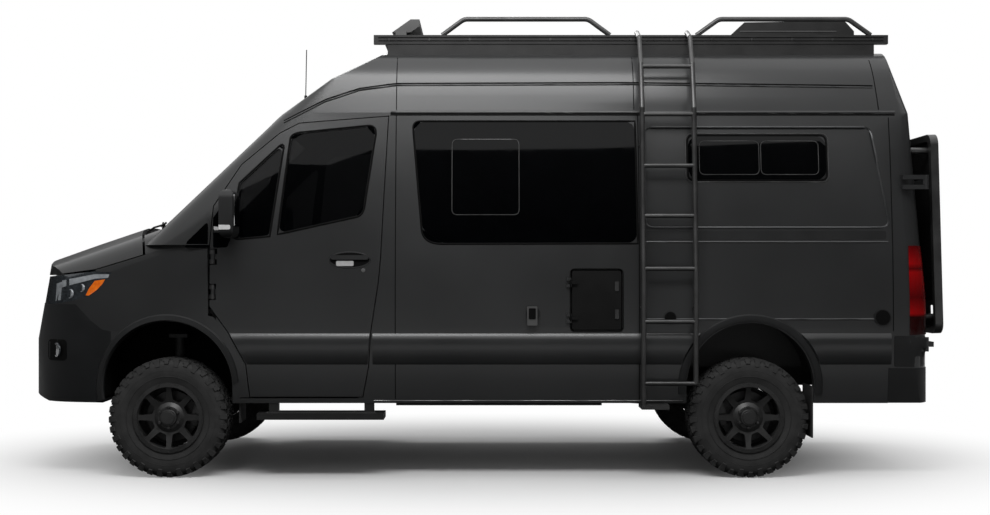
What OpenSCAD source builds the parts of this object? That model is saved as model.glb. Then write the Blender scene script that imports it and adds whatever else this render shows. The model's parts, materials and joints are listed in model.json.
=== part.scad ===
// Camper van on a high-roof panel van: millimetres, X to the rear, Y to the right, Z up, ground at Z 0

/* [Overall] */

// Distance between the axles
wheelbase = 3665; // [3400:5:4000]
// Front axle to the front of the bumper
front_overhang = 1013; // [980:1:1080]
// Rear axle to the rear of the door carriers
rear_overhang = 1267; // [1240:1:1340]
// Width of the body at the waist
body_w = 2020; // [1960:2:2100]
// Bottom edge of the sills
sill_z = 475; // [455:1:500]
// Height of the widest place of the sides
waist_z = 950; // [900:5:1000]
// Height of the drip rail, where the sides end and the roof begins
gutter_z = 2312; // [2290:1:2340]
// Height of the crease along the roof sides
crease_z = 2522; // [2500:1:2560]

/* [Walls and gaps] */

// Thickness of the side walls and roof
wall_t = 55; // [45:1:70]
// Thickness of the doors
door_t = 80; // [65:1:95]
// Thickness of hood, wings and bumper
nose_t = 30; // [24:1:40]
// Gap around doors, hood and hatch
gap = 6; // [5:0.5:8]
// Thickness of the glass
glass_t = 6; // [5:0.5:10]

/* [Wheels] */

// Tyre diameter
tyre_d = 756; // [730:1:790]
// Tyre width
tyre_w = 240; // [220:1:255]
// Rim diameter over the flange
rim_d = 442; // [420:1:450]
// Distance between the wheel centres of an axle
track = 1704; // [1690:1:1730]
// Number of spokes
spokes = 8; // [6:1:10]
// Radius of the front wheel arches
arch_f = 412; // [405:1:425]
// Radius of the rear wheel arches
arch_r = 400; // [395:1:420]

/* [Roof load] */

// Height of the top of the rack rails
rack_z = 2833; // [2820:1:2860]
// Height of the top of the hoops
hoop_z = 2954; // [2930:1:2990]
// Diameter of the hoop and ladder tubes
tube_d = 32; // [28:1:36]

/* [Hidden] */

$fn = 48;
half_l = (front_overhang + wheelbase + rear_overhang) / 2;
x_fa = front_overhang - half_l;
x_ra = x_fa + wheelbase;
half_w = body_w / 2;
wheel_r = tyre_d / 2;
wheel_y = track / 2;
run = 0.05;

// Side section of the body, from the sill up to the roof: height at the end, heading at the end, steps
SECTION = [
  [waist_z, 90, 3],
  [gutter_z, 99, 6],
  [crease_z, 104, 2],
  [crease_z + 128, 125, 4],
  [crease_z + 199, 170, 6]
];
SILL_HEADING = 84;

// Points of one arc that leaves p with heading h0 and ends with heading h1; a minus radius turns right
function arc_of(p, h0, r, h1, n) =
  [for (k = [1:n]) let (h = h0 + (h1 - h0) * k / n) p + r * [sin(h) - sin(h0), cos(h0) - cos(h)]];

// Points of a chain of tangent arcs, rows of radius, heading at the end and steps
function chain(p, h, rows, k = 0) =
  k == len(rows) ? [] :
  let (a = arc_of(p, h, rows[k][0], rows[k][1], rows[k][2]))
  concat(a, chain(a[len(a) - 1], rows[k][1], rows, k + 1));

function mirrored(pts) = [for (k = [len(pts) - 1:-1:0]) [-pts[k][0], pts[k][1]]];
function flip_y(pts) = [for (k = [len(pts) - 1:-1:0]) [pts[k][0], -pts[k][1]]];
function last(pts) = pts[len(pts) - 1];

// Right half of the body section, set in by t
function sec_r(k) =
  (SECTION[k][0] - (k == 0 ? sill_z : SECTION[k - 1][0]))
  / (cos(k == 0 ? SILL_HEADING : SECTION[k - 1][1]) - cos(SECTION[k][1]));
sill_y = half_w - sec_r(0) * (1 - sin(SILL_HEADING));
function sec_rows(t) = [for (k = [0:len(SECTION) - 1]) [sec_r(k) - t, SECTION[k][1], SECTION[k][2]]];
function sec_start(t) = [sill_y - t * sin(SILL_HEADING), sill_z + t * cos(SILL_HEADING)];
function sec_side(t) = concat([sec_start(t)], chain(sec_start(t), SILL_HEADING, sec_rows(t)));
function sec_half(t) =
  let (s = sec_side(t), e = last(s))
  concat(s, chain(e, 170, [[e[0] / sin(170), 180, 3]]));
roof_z = last(sec_half(0))[1];

// Half width of the body at a height, set in by t
side_r = sec_r(1);
function side_y(z, t = 0) = half_w - side_r + sqrt(pow(side_r - t, 2) - pow(z - waist_z, 2));

module along_x(x0, x1) translate([x0, 0, 0]) rotate([90, 0, 90]) linear_extrude(x1 - x0) children();
module across(w = 3000) rotate([90, 0, 0]) linear_extrude(w, center = true) children();
module left_half() rotate([90, 0, 0]) linear_extrude(3000) children();
module right_half() mirror([0, 1, 0]) left_half() children();
module both() {
  children();
  mirror([0, 1, 0]) children();
}

// Body section pulled along the van
module section_prism(t) {
  s = sec_half(t);
  h = t > 0 ? concat([[s[0][0], sill_z - 100]], s) : s;
  along_x(-half_l - 200, half_l + 200) polygon(concat(h, mirrored(h)));
}

// Rear end: bowed in plan with round corners; upright below, then leaning forward in steps: lean, from height
REAR_FACES = [[3.8, 1090], [20, 2330]];
rear_x = x_ra + 1196;
rear_tilt = 4.2;
rear_corner_y = half_w - 130;
function rear_pts(t) =
  let (p = [-t, 0], r0 = rear_corner_y / sin(8), c = chain(p, 90, [[r0 - t, 98, 3], [150 - t, 172, 6]]))
  concat([p], c, [last(c) + 6500 * [cos(172), sin(172)]]);
function rear_set(k) = k == 0 ? 0 : rear_set(k - 1) + rise(k) * tan(REAR_FACES[k - 1][0]);
function rise(k) = REAR_FACES[k][1] - REAR_FACES[k - 1][1];
module rear_lean_side(t, k) {
  z = REAR_FACES[k][1];
  translate([rear_x - rear_set(k), (REAR_FACES[0][1] - z) * tan(rear_tilt), z])
    rotate([0, -REAR_FACES[k][0], 0]) rotate([rear_tilt, 0, 0]) linear_extrude(6000, center = true)
      polygon(concat(rear_pts(t), [[-6500, -3000], [-t, -3000]]));
}
module rear_prism(t) intersection() {
  translate([rear_x, 0, -500]) linear_extrude(5000) polygon(concat(rear_pts(t), flip_y(rear_pts(t))));
  rear_lean_side(t, 0);
  rear_lean_side(t, 1);
  mirror([0, 1, 0]) rear_lean_side(t, 0);
  mirror([0, 1, 0]) rear_lean_side(t, 1);
}

// Cab front: windshield slope, the arc over to the roof, and brow facets that round its sides
ws_a = 44.5;
ws_x = x_fa - 120;
ws_z = 1650;
dome_z = 2300;
dome_r = (roof_z - dome_z) / (1 - cos(ws_a));
function cab_pts(t) =
  let (d = [cos(ws_a), sin(ws_a)], n = [sin(ws_a), -cos(ws_a)],
    p0 = [ws_x, ws_z] + t * n - 1800 * d,
    p1 = [ws_x, ws_z] + t * n + d * (dome_z - ws_z) / sin(ws_a),
    a = chain(p1, ws_a, [[-(dome_r - t), 0, 8]]))
  concat([p0, p1], a, [[half_l + 300, last(a)[1]], [half_l + 300, p0[1]]]);
ws_bow = 3900;
pillar_y = half_w - 110;
function bow_pts(t) =
  let (p = [t, 0], c = chain(p, 90, [[-(ws_bow - t), acos(pillar_y / ws_bow), 4], [-(110 - t), 14, 5]]))
  concat([p], c, [last(c) + 7000 * [cos(14), sin(14)]]);
module bow_side(t) translate([ws_x, 0, ws_z]) rotate([0, 90 - ws_a, 0]) rotate([5, 0, 0])
  linear_extrude(14000, center = true) polygon(concat(bow_pts(t), [[7000, -3000], [t, -3000]]));
// Brow facets: lean, place and height at the middle of the van
BROW = [[36, 900, 2560], [25.5, 1126, 2685]];
module brow(t, b) translate([x_fa + b[1], 0, b[2]]) rotate([0, 90 - b[0], 0])
  linear_extrude(14000, center = true) polygon(concat(bow_pts(t), flip_y(bow_pts(t))));
module cab_box(t) intersection() {
  section_prism(t);
  rear_prism(t);
  across() polygon(cab_pts(t));
  bow_side(t);
  mirror([0, 1, 0]) bow_side(t);
  brow(t, BROW[0]);
  brow(t, BROW[1]);
}

// Nose: side profile, plan and hood crown
function nose_pts(t) =
  let (h = 195, p = [x_fa - front_overhang + 843.7, crown_z + 17] + t * [-sin(h), cos(h)],
    a = chain(p, h, [[3520 - t, 207, 5], [200 - t, 255, 5], [1474 - t, 268, 3]]),
    b = last(a) + [-5, -304],
    c = chain(b, 269, [[110 - t, 345, 5]]),
    d = last(c) + 250 * [cos(15), -sin(15)])
  concat([p + 560 * [cos(15), sin(15)], p], a, [b], c, [d, [x_fa + 300, d[1]]]);
// Plan of the nose, upright up to the lamps and leaning back above
nose_lean = 10;
nose_lean_z = 870;
function nose_plan(t) =
  let (p = [t, 0], c = chain(p, 90, [[-(2500 - t), 76, 4], [-(430 - t), 10, 7]]))
  concat([p], c, [last(c) + 1800 * [cos(10), sin(10)]]);
module nose_front(t) intersection() {
  linear_extrude(5000, center = true) polygon(concat(nose_plan(t), flip_y(nose_plan(t))));
  translate([0, 0, nose_lean_z]) rotate([0, nose_lean, 0]) linear_extrude(5000, center = true)
    polygon(concat(nose_plan(t), flip_y(nose_plan(t))));
}
hood_a = 18;
crown_z = 1628;
hood_flare = 6;
module crown_half(t) {
  p = [0, -t];
  pts = concat([[-3000, -t], p], chain(p, 0, [[-(2900 - t), -15, 3], [-(200 - t), -80, 7]]));
  e = last(pts) + 1500 * [cos(80), -sin(80)];
  translate([x_fa - 230, 35, crown_z]) rotate([0, -hood_a, 0]) rotate([0, 0, hood_flare]) along_x(-1500, 900)
    polygon(concat(pts, [e, [-3000, e[1]]]));
}
module hood_crown(t) intersection() {
  crown_half(t);
  mirror([0, 1, 0]) crown_half(t);
}
module nose_box(t) intersection() {
  section_prism(t);
  translate([x_fa - front_overhang, 0, 0]) nose_front(t);
  across() polygon(nose_pts(t));
  hood_crown(t);
}

// Outlines in side view, X from the front axle
door_z0 = 510;
DOOR = [[266, 1084], [381, 926], [495, 718], [518, door_z0], [1234, door_z0], [1272, 705], [1285, 920],
  [1333, 1236], [1346, 1375], [1391, 2292], [817, 2247], [695, 2184], [455, 1982], [286, 1716], [266, 1470]];
DOOR_PANE = [[703, 1545], [772, 2140], [836, 2178], [1253, 2220], [1300, 2167], [1234, 1716], [1190, 1653]];
QUARTER_PANE = [[421, 1545], [455, 1514], [640, 1530], [718, 2078], [700, 2090], [621, 2016], [455, 1857]];
SIDE_PANE = [[1550, 2205], [1590, 2250], [2944, 2250], [2952, 1485], [1731, 1482], [1607, 1567]];
PRESSED = [[3010, 2218], [4440, 2218], [4549, 1580], [3010, 1580]];
REAR_PANE = [3287, 4154, 1885, 2159];
HATCH = [2539, 2860, 931, 1314];
LAMP = [[-1300, 1094], [-767, 1094], [-621, 1116], [-518, 1145], [-395, 1256], [-367, 1297], [-477, 1303],
  [-704, 1279], [-1300, 1236]];
HOOD_SEAM = [[-1300, 1240], [-704, 1283], [-477, 1312], [-134, 1413], [200, 1510]];
BUMPER = [[-1300, 1094], [-600, 1094], [-496, 994], [-420, 937], [-360, 925], [-360, 200], [-1300, 200]];
module out(pts, r = 0) translate([x_fa, 0]) offset(r = r) offset(delta = -r) polygon(pts);
module rect(b, r) translate([x_fa + b[0] + r, b[2] + r]) offset(r = r)
  square([b[1] - b[0] - 2 * r, b[3] - b[2] - 2 * r]);

module side_shell(t0, t1) difference() {
  cab_box(t0);
  cab_box(t1);
}
module nose_shell(t0, t1) difference() {
  nose_box(t0);
  nose_box(t1);
}

// Wheel openings
well_z = 580;
module arch_round(r) {
  translate([0, well_z]) circle(r = r, $fn = 120);
  translate([-r, -200]) square([2 * r, well_z + 200]);
}
module front_arch(r, y = 500) both() translate([x_fa, -y, 0]) left_half() arch_round(r);
module rear_arch(r, y = 600) both() translate([x_ra, -y, 0]) left_half() arch_round(r);

// Hinges: a pin with two lugs on the fixed side and a sleeve on the moving side
hinge_r = 14;
pin_r = 8;
hinge_h = 90;
door_hx = x_fa + 288;
door_hy = half_w - 22;
DOOR_HINGE_Z = [1130, 1350];
rear_hx = rear_x - 86;
rear_hy = half_w - 25;
REAR_HINGE_Z = [800, 1820];
module hinge_fixed() {
  cylinder(r = pin_r, h = hinge_h);
  cylinder(r = hinge_r, h = hinge_h / 3 - 2);
  translate([0, 0, hinge_h * 2 / 3 + 2]) cylinder(r = hinge_r, h = hinge_h / 3 - 2);
}
module hinge_sleeve() translate([0, 0, hinge_h / 3 - 1]) difference() {
  cylinder(r = hinge_r, h = hinge_h / 3 + 2);
  translate([0, 0, -1]) cylinder(r = pin_r + run, h = hinge_h);
}

// Floor with wheel boxes, firewall and front wheel housings
floor_z = 740;
fire_x = x_fa + 70;
module floor() color("#3a3c40") {
  difference() {
    union() {
      intersection() {
        translate([x_fa + 470, -1200, floor_z - 60]) cube([931, 2400, 60]);
        cab_box(door_t + 8);
      }
      intersection() {
        translate([x_fa + 1400, -1200, floor_z - 60]) cube([6000, 2400, 60]);
        cab_box(wall_t);
      }
      both() intersection() {
        translate([x_ra, 390 - half_w, 0]) left_half() difference() {
          arch_round(arch_r + 50);
          translate([-700, -300]) square([1400, 300 + floor_z - 60]);
        }
        cab_box(wall_t);
      }
    }
    rear_arch(arch_r + 25, half_w - 365);
    translate([rear_x - 230, -1200, 0]) cube([600, 2400, 3000]);
  }
  // Firewall and the ledge over the front wheels
  intersection() {
    union() {
      translate([fire_x, -1200, 1030]) cube([30, 2400, 400]);
      translate([fire_x, -1200, 1030]) cube([430, 2400, 30]);
      translate([x_fa + 470, -1200, floor_z - 60]) cube([30, 2400, 380]);
    }
    cab_box(door_t + 20);
  }
  door_pillars();
  // Flange round the door openings, behind the doors
  intersection() {
    side_shell(door_t + 8, door_t + 29.7);
    across() difference() {
      offset(delta = 30) out(DOOR);
      offset(delta = -70) out(DOOR);
    }
    translate([x_fa + DOOR[0][0] + 0.3, -1500, 0]) cube([3000, 3000, 3000]);
  }
}

// Side walls behind the cab doors
module side_wall() difference() {
  intersection() {
    side_shell(0, wall_t);
    left_half() difference() {
      union() {
        translate([x_fa + 1200, 0]) square([6000, gutter_z]);
        translate([x_fa + 455, 0]) square([1200, door_z0 - 5]);
      }
      out(DOOR);
    }
  }
  rear_arch(arch_r);
  rear_opening(0);
  lamp_cut();
  translate([rear_x - 330.3, -1300, 0]) cube([700, 2600, bumper_z]);
}
module side_left() color("#45484d") {
  difference() {
    side_wall();
    left_half() out(SIDE_PANE, 50);
    left_half() rect(HATCH, 18);
    pressed_cut();
    left_half() rect(REAR_PANE, 60);
  }
  rear_hinges_fixed();
  hatch_hinge_fixed();
}
module side_right() color("#45484d") mirror([0, 1, 0]) {
  difference() {
    side_wall();
    slide_cut(0);
    pressed_cut();
    left_half() rect(REAR_PANE, 60);
  }
  rear_hinges_fixed();
}
module pressed_cut() difference() {
  left_half() out(PRESSED, 40);
  cab_box(12);
}
SLIDE = [1440, 2985, 560, 2275];
module slide_cut(g) left_half() offset(delta = -g) rect(SLIDE, 60);
module sliding_door() color("#45484d") mirror([0, 1, 0]) difference() {
  intersection() {
    side_shell(0, wall_t);
    slide_cut(0.3);
  }
  left_half() out(SIDE_PANE, 50);
}

// Roof with its front dome and rear header
module roof() color("#4b4e53") difference() {
  intersection() {
    side_shell(0, wall_t);
    translate([-4000, -1500, gutter_z]) cube([8000, 3000, 1500]);
  }
  rear_opening(0);
}

// Cab frame: windshield surround, pillars and door headers
module ws_plane() translate([ws_x, 0, ws_z]) rotate([0, 90 - ws_a, 0]) rotate([0, 0, 90]) rotate([90, 0, 0])
  linear_extrude(700, center = true) children();
module ws_outline(g) offset(r = 60) offset(delta = -60 - g)
  polygon([[-850, -60], [850, -60], [780, 950], [-780, 950]]);
module windshield() color("#15181b") difference() {
  intersection() {
    side_shell(1, 1 + glass_t);
    ws_plane() ws_outline(0.3);
  }
  nose_box(36);
  intersection() {
    nose_box(0);
    both() translate([-4000, -half_w - 490, 0]) cube([8000, 700.3, 3000]);
  }
}
module cab_frame() color("#3f4246") {
  difference() {
    intersection() {
      side_shell(0, wall_t);
      across() difference() {
        translate([x_fa - 400, 1470]) square([1600, gutter_z - 1470]);
        out(DOOR);
      }
    }
    ws_plane() ws_outline(0);
    nose_box(0);
  }
}
// Pillars that carry the door hinges
module door_pillars() both() {
  difference() {
    translate([x_fa + 150, -side_y(1300, 75), 1040]) cube([100, 70, 410]);
    hinge_clear();
  }
  for (z = DOOR_HINGE_Z) translate([door_hx, -door_hy, z]) {
    hinge_fixed();
    for (dz = [0, hinge_h * 2 / 3 + 2]) translate([0, 0, dz]) {
      translate([-18, 0, 0]) cube([12, 70, hinge_h / 3 - 2]);
      translate([-60, 46, 0]) cube([54, 24, hinge_h / 3 - 2]);
    }
  }
}
module hinge_clear() translate([door_hx, -door_hy, DOOR[0][1] - 100]) cylinder(r = 33, h = 760);

// Cowl between the hood and the windshield, set below both
module cowl() color("#17181a") {
  difference() {
    intersection() {
      union() {
        nose_shell(36, 58);
        intersection() {
          translate([fire_x - 30, 310 - half_w, 1300]) cube([30, body_w - 620, 600]);
          nose_box(36);
        }
      }
      translate([x_fa - 330, 210 - half_w, 1300]) cube([600, body_w - 420, 600]);
    }
    both() translate([x_fa - 340, -hood_hy - 50, 1440]) cube([330, 100, 400]);
  }
  both() hood_lugs();
}

// Wings with the lamp and hood openings left out
module wing_outline() difference() {
  translate([x_fa - 1100, 380]) square([1366, 1300]);
  out(concat([for (k = [0:6]) LAMP[k]], [[LAMP[6][0], 3000], [LAMP[0][0], 3000]]));
  out(BUMPER);
}
module hood_cut(g) intersection() {
  across() offset(delta = -g) out(concat(HOOD_SEAM, [[200, 3000], [-1300, 3000]]));
  linear_extrude(4000) hood_plan(g);
}
module wings() color("#45484d") difference() {
  union() {
    intersection() {
      nose_shell(0, nose_t);
      across() wing_outline();
      both() translate([-4000, -half_w - 490, 0]) cube([8000, 700, 2000]);
    }
    // Foot of the wing, between the wheel arch and the door
    intersection() {
      side_shell(0, nose_t);
      across() translate([x_fa, 0]) {
        translate([265.9, sill_z]) square([188.8, DOOR[0][1] - sill_z]);
        translate([454, door_z0 + 2]) square([70, 300]);
      }
    }
  }
  hood_cut(0);
  front_arch(arch_f, 300);
  both() hinge_clear();
  across() out(DOOR);
}
// Front wheel housings inside the wings
liner_y = 545;
module wheel_liners() color("#17181a") difference() {
  intersection() {
    both() {
      translate([x_fa, -liner_y, 0]) left_half() difference() {
        arch_round(arch_f + 33);
        arch_round(arch_f + 18);
      }
      translate([x_fa, 15 - liner_y, 0]) rotate([90, 0, 0]) linear_extrude(15) arch_round(arch_f + 33);
    }
    union() {
      nose_box(nose_t + 10.3);
      intersection() {
        section_prism(nose_t + 10.3);
        translate([x_fa + 295, -half_w, 0]) cube([300, body_w, 3000]);
      }
    }
    translate([x_fa - 600, -half_w, 500]) cube([1200, body_w, 600]);
  }
  // Room for the strut plates
  both() translate([x_fa - 66, -690, 864]) cube([132, 300, 36]);
}
module front_bumper() color("#26282b") difference() {
  intersection() {
    nose_shell(0, nose_t + 10);
    across() out(BUMPER);
  }
  front_arch(arch_f, 300);
  translate([x_front - 100, -grille_y, 905]) cube([400, 2 * grille_y, 400]);
  translate([x_front - 100, 50 - grille_y, 580]) cube([300, 2 * grille_y - 100, 110]);
}
x_front = x_fa - front_overhang;
grille_y = half_w - 490;
module grille() color("#101112") {
  difference() {
    intersection() {
      nose_shell(8, 45);
      translate([x_front - 100, 0.3 - grille_y, 905.3]) cube([513, 2 * grille_y - 0.6, 335]);
    }
    for (z = [940:60:1200]) translate([x_front - 100, 50 - grille_y, z]) cube([400, 2 * grille_y - 100, 34]);
  }
  // Panel behind the gap under the hood
  intersection() {
    nose_shell(44, 60);
    translate([x_front - 100, 0.3 - grille_y, 1205]) cube([513, 2 * grille_y - 0.6, 90]);
  }
}
module headlamps() color("#9aa0a6") intersection() {
  union() {
    intersection() {
      nose_shell(3, 75);
      across() offset(delta = -0.3) out(LAMP);
    }
    intersection() {
      nose_shell(42, 75);
      across() offset(delta = 14) out(LAMP);
    }
  }
  both() translate([x_front - 100, -half_w - 490, 0]) cube([1500, half_w + 490 - grille_y, 2000]);
}
module hood() color("#45484d") {
  intersection() {
    nose_shell(0, nose_t);
    hood_cut(gap);
  }
  both() hood_arm();
}
// Hood hinges: an arm from the hood down to a sleeve, between two lugs of the cowl
hood_hx = x_fa - 130;
hood_hz = crown_z - 128;
hood_hy = half_w - 450;
hood_bow = 3000;
// Plan of the hood, with more room at its rear edge, which swings back as it rises
module hood_plan(g) translate([x_fa - 300 - 2.5 * g, 0]) polygon(concat(
  [for (k = [-8:8]) [hood_bow - sqrt(hood_bow * hood_bow - pow(150 * k, 2)), 150 * k]],
  [[-1500, 1200], [-1500, -1200]]));
module hood_arm() translate([0, -hood_hy - 18, 0]) difference() {
  union() {
    translate([hood_hx, 18, hood_hz]) across(36)
      polygon([[0, -hinge_r], [-180, 0], [-180, 35], [-132, 45], [0, hinge_r]]);
    translate([hood_hx, 36, hood_hz]) rotate([90, 0, 0]) cylinder(r = hinge_r, h = 36);
  }
  translate([hood_hx, 50, hood_hz]) rotate([90, 0, 0]) cylinder(r = pin_r + run, h = 70);
}
module hood_lugs() difference() {
  union() {
    for (dy = [20, -32]) translate([hood_hx, -hood_hy + dy, hood_hz]) {
      translate([0, 12, 0]) rotate([90, 0, 0]) cylinder(r = hinge_r, h = 12);
      translate([0, 0, -hinge_r]) cube([fire_x - 25 - hood_hx, 12, 2 * hinge_r]);
    }
    translate([hood_hx, -hood_hy + 25, hood_hz]) rotate([90, 0, 0]) cylinder(r = pin_r, h = 50);
  }
}

// Glass of the load space
module side_glass() color("#131518") {
  intersection() {
    side_shell(0.5, 0.5 + glass_t);
    left_half() offset(delta = -0.3) out(SIDE_PANE, 50);
  }
  intersection() {
    side_shell(0.5, 0.5 + glass_t);
    right_half() offset(delta = -0.3) out(SIDE_PANE, 50);
  }
}
module rear_windows() color("#131518") both() intersection() {
  side_shell(4, 40);
  left_half() offset(delta = -0.3) rect(REAR_PANE, 60);
}

// Rear opening, doors and lamps
rear_door_z0 = 700;
bumper_z = rear_door_z0 - 3;
module rear_opening(g) translate([rear_x - 300, 0, 0]) rotate([90, 0, 90]) linear_extrude(600)
  rear_outline(g);
module rear_outline(g) offset(delta = -g) polygon(concat(
  [for (q = REAR_EDGE) [half_w - q[0], q[1]]], mirrored([for (q = REAR_EDGE) [half_w - q[0], q[1]]])));
// Edge of the rear opening: distance in from the side, height
REAR_EDGE = [[134, rear_door_z0], [126, 1100], [148, 1700], [210, 2380], [310, 2500]];
lamp_z = 905;
lamp_h = 560;
module lamp_cut() both() translate([rear_x - 200, -half_w - 90, lamp_z]) cube([400, 195, lamp_h]);
module tail_lamps() color("#8e1518") both() intersection() {
  side_shell(-6, wall_t - 5);
  translate([rear_x - 199.7, -half_w - 90, lamp_z + 0.3]) cube([400, 194.7, lamp_h - 0.6]);
}
// Outside of the rear doors at their hinge edge
function rear_face(z) = rear_x - max(0, z - REAR_FACES[0][1]) * tan(REAR_FACES[0][0]) - 62;
module rear_hinges_fixed() for (z = REAR_HINGE_Z) translate([rear_hx, -rear_hy, z]) {
  hinge_fixed();
  for (dz = [0, hinge_h * 2 / 3 + 2]) translate([0, 0, dz]) {
    translate([-150, -6, 0]) cube([144, 12, hinge_h / 3 - 2]);
    translate([-150, -6, 0]) cube([40, 70, hinge_h / 3 - 2]);
  }
}
module rear_door(s) {
  difference() {
    intersection() {
      side_shell(0, door_t);
      translate([rear_x - 300, 0, 0]) rotate([90, 0, 90]) linear_extrude(600) intersection() {
        rear_outline(gap);
        translate([-2000, 0]) square([2000 - 4, 4000]);
      }
    }
    rear_pane(0);
  }
  for (z = REAR_HINGE_Z) translate([0, 0, z + hinge_h / 3 - 1]) {
    xf = rear_face(z + hinge_h);
    difference() {
      union() {
        translate([rear_hx, -rear_hy, 0]) cylinder(r = hinge_r, h = hinge_h / 3 + 2);
        translate([min(rear_hx, xf + 8), -rear_hy - 6, 0])
          cube([abs(xf + 20 - rear_hx), 12, hinge_h / 3 + 2]);
        translate([xf + 8, -rear_hy - 6, 0]) cube([12, 190, hinge_h / 3 + 2]);
        translate([xf - 50, 170 - half_w, 0]) cube([70, 34, hinge_h / 3 + 2]);
      }
      translate([rear_hx, -rear_hy, -1]) cylinder(r = pin_r + run, h = hinge_h);
    }
  }
}
module rear_pane(g) translate([rear_x - 300, 0, 0]) rotate([90, 0, 90]) linear_extrude(900)
  offset(r = 50) offset(delta = -50 - g)
    polygon([[230 - half_w, 1500], [-110, 1500], [-110, 2180], [290 - half_w, 2180]]);
module rear_door_left() color("#45484d") rear_door();
module rear_door_right() color("#45484d") mirror([0, 1, 0]) rear_door();
module rear_door_pane() intersection() {
  side_shell(0.5, 0.5 + glass_t);
  rear_pane(0.3);
}
module rear_door_glass_left() color("#131518") rear_door_pane();
module rear_door_glass_right() color("#131518") mirror([0, 1, 0]) rear_door_pane();

// Carrier frames on the rear doors: a round-edged frame, a slotted plate and four standoffs
carrier_lean = 1.6;
CARRIER = [160 - half_w, -70, 904, 2185];
module carrier_plane() translate([half_l, 0, CARRIER[2]]) rotate([0, -carrier_lean, 0])
  translate([0, 0, -CARRIER[2]]) rotate([90, 0, 90]) children();
module carrier_form(g, r) translate([CARRIER[0] + g, CARRIER[2] + g])
  translate([r, r]) offset(r = r)
    square([CARRIER[1] - CARRIER[0] - 2 * g - 2 * r, CARRIER[3] - CARRIER[2] - 2 * g - 2 * r]);
module carrier() {
  carrier_plane() {
    translate([0, 0, -50]) linear_extrude(50) difference() {
      carrier_form(0, 70);
      carrier_form(44, 40);
    }
    translate([0, 0, -30]) linear_extrude(6) difference() {
      carrier_form(42, 42);
      for (x = [0:4], z = [0:7])
        translate([CARRIER[0] + 100 + 132 * x, CARRIER[2] + 120 + 140 * z]) square([52, 60]);
    }
  }
  difference() {
    for (y = [CARRIER[0] + 80, CARRIER[1] - 120], z = [1010, 2080])
      translate([half_l - 26 - (z - CARRIER[2]) * tan(carrier_lean), y, z])
        rotate([0, -90, 0]) cylinder(r = 20, h = 300);
    cab_box(0);
  }
}
module carrier_left() color("#151617") carrier();
module carrier_right() color("#151617") mirror([0, 1, 0]) carrier();

module rear_bumper() color("#26282b") difference() {
  intersection() {
    side_shell(-4, 50);
    translate([rear_x - 330, -1300, sill_z + 2]) cube([700, 2600, bumper_z - sill_z - 2.3]);
  }
  rear_arch(arch_r + 100, 500);
}

// Cab doors
module cab_door() {
  difference() {
    union() {
      intersection() {
        side_shell(0, 28);
        left_half() offset(delta = -gap) out(DOOR);
      }
      intersection() {
        side_shell(27, door_t);
        left_half() offset(delta = -gap - 16) out(DOOR);
      }
    }
    left_half() out(DOOR_PANE, 30);
    left_half() out(QUARTER_PANE, 20);
    for (z = DOOR_HINGE_Z) translate([door_hx, -door_hy, z - 6]) cylinder(r = 30, h = hinge_h + 12);
  }
  for (z = DOOR_HINGE_Z) translate([door_hx, -door_hy, z]) {
    hinge_sleeve();
    difference() {
      translate([4, 2, hinge_h / 3 - 1]) cube([50, 9, hinge_h / 3 + 2]);
      translate([0, 0, -1]) cylinder(r = pin_r + run, h = 200);
    }
  }
}
module door_left() color("#45484d") cab_door();
module door_right() color("#45484d") mirror([0, 1, 0]) cab_door();
module cab_glass() intersection() {
  side_shell(8, 8 + glass_t);
  left_half() offset(delta = -0.3) {
    out(DOOR_PANE, 30);
    out(QUARTER_PANE, 20);
  }
}
module door_left_glass() color("#131518") cab_glass();
module door_right_glass() color("#131518") mirror([0, 1, 0]) cab_glass();
// Mirror head: place and height in side view, then its width
MIRROR = [379, 465, 1509, 1805];
mirror_w = 215;
module mirror_unit() {
  y0 = -side_y(1660);
  intersection() {
    left_half() rect(MIRROR, 38);
    along_x(x_fa, x_fa + 800) translate([y0 - 62 - mirror_w + 55, MIRROR[2] + 55]) offset(r = 55)
      square([mirror_w - 110, MIRROR[3] - MIRROR[2] - 110]);
  }
  translate([x_fa + 320, y0 - 130, 1545]) cube([100, 170, 40]);
  translate([x_fa + 300, y0 - 8, 1515]) cube([100, 30, 100]);
}
module mirror_left() color("#1b1c1e") difference() {
  mirror_unit();
  cab_box(0);
}
module mirror_right() color("#1b1c1e") mirror([0, 1, 0]) mirror_left();

// Service hatch, filler and inlets on the left side
hatch_hx = x_fa + HATCH[0] - 4;
hatch_hy = side_y(HATCH[2] + 60) + 9;
HATCH_HINGE_Z = [HATCH[2] + 50, HATCH[3] - 110];
module hatch_hinge_fixed() for (z = HATCH_HINGE_Z) translate([hatch_hx, -hatch_hy, z]) {
  cylinder(r = 4, h = 60);
  for (dz = [0, 41]) translate([0, 0, dz]) {
    cylinder(r = 7, h = 19);
    translate([-26, -4, 0]) cube([26, 24, 19]);
  }
}
module hatch_door() color("#2b2d30") {
  intersection() {
    side_shell(0, 20);
    left_half() rect([HATCH[0] + gap, HATCH[1] - gap, HATCH[2] + gap, HATCH[3] - gap], 14);
  }
  for (z = HATCH_HINGE_Z) translate([hatch_hx, -hatch_hy, z + 20]) difference() {
    union() {
      cylinder(r = 7, h = 20);
      translate([0, -4, 0]) cube([44, 4, 20]);
      translate([22, -4, 0]) cube([22, 24, 20]);
    }
    translate([0, 0, -1]) cylinder(r = 4 + run, h = 30);
  }
}
PORTS = [[2300, 1040, 45], [3160, 1015, 38], [4490, 1015, 52]];
module side_ports() color("#202225") for (p = PORTS)
  difference() {
    translate([x_fa + p[0], -side_y(p[1]) + 20, p[1]]) rotate([90, 0, 0]) cylinder(r = p[2], h = 30);
    cab_box(0);
  }

// Under the body
rail_z = floor_z - 60;
rail_y = 460;
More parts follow.
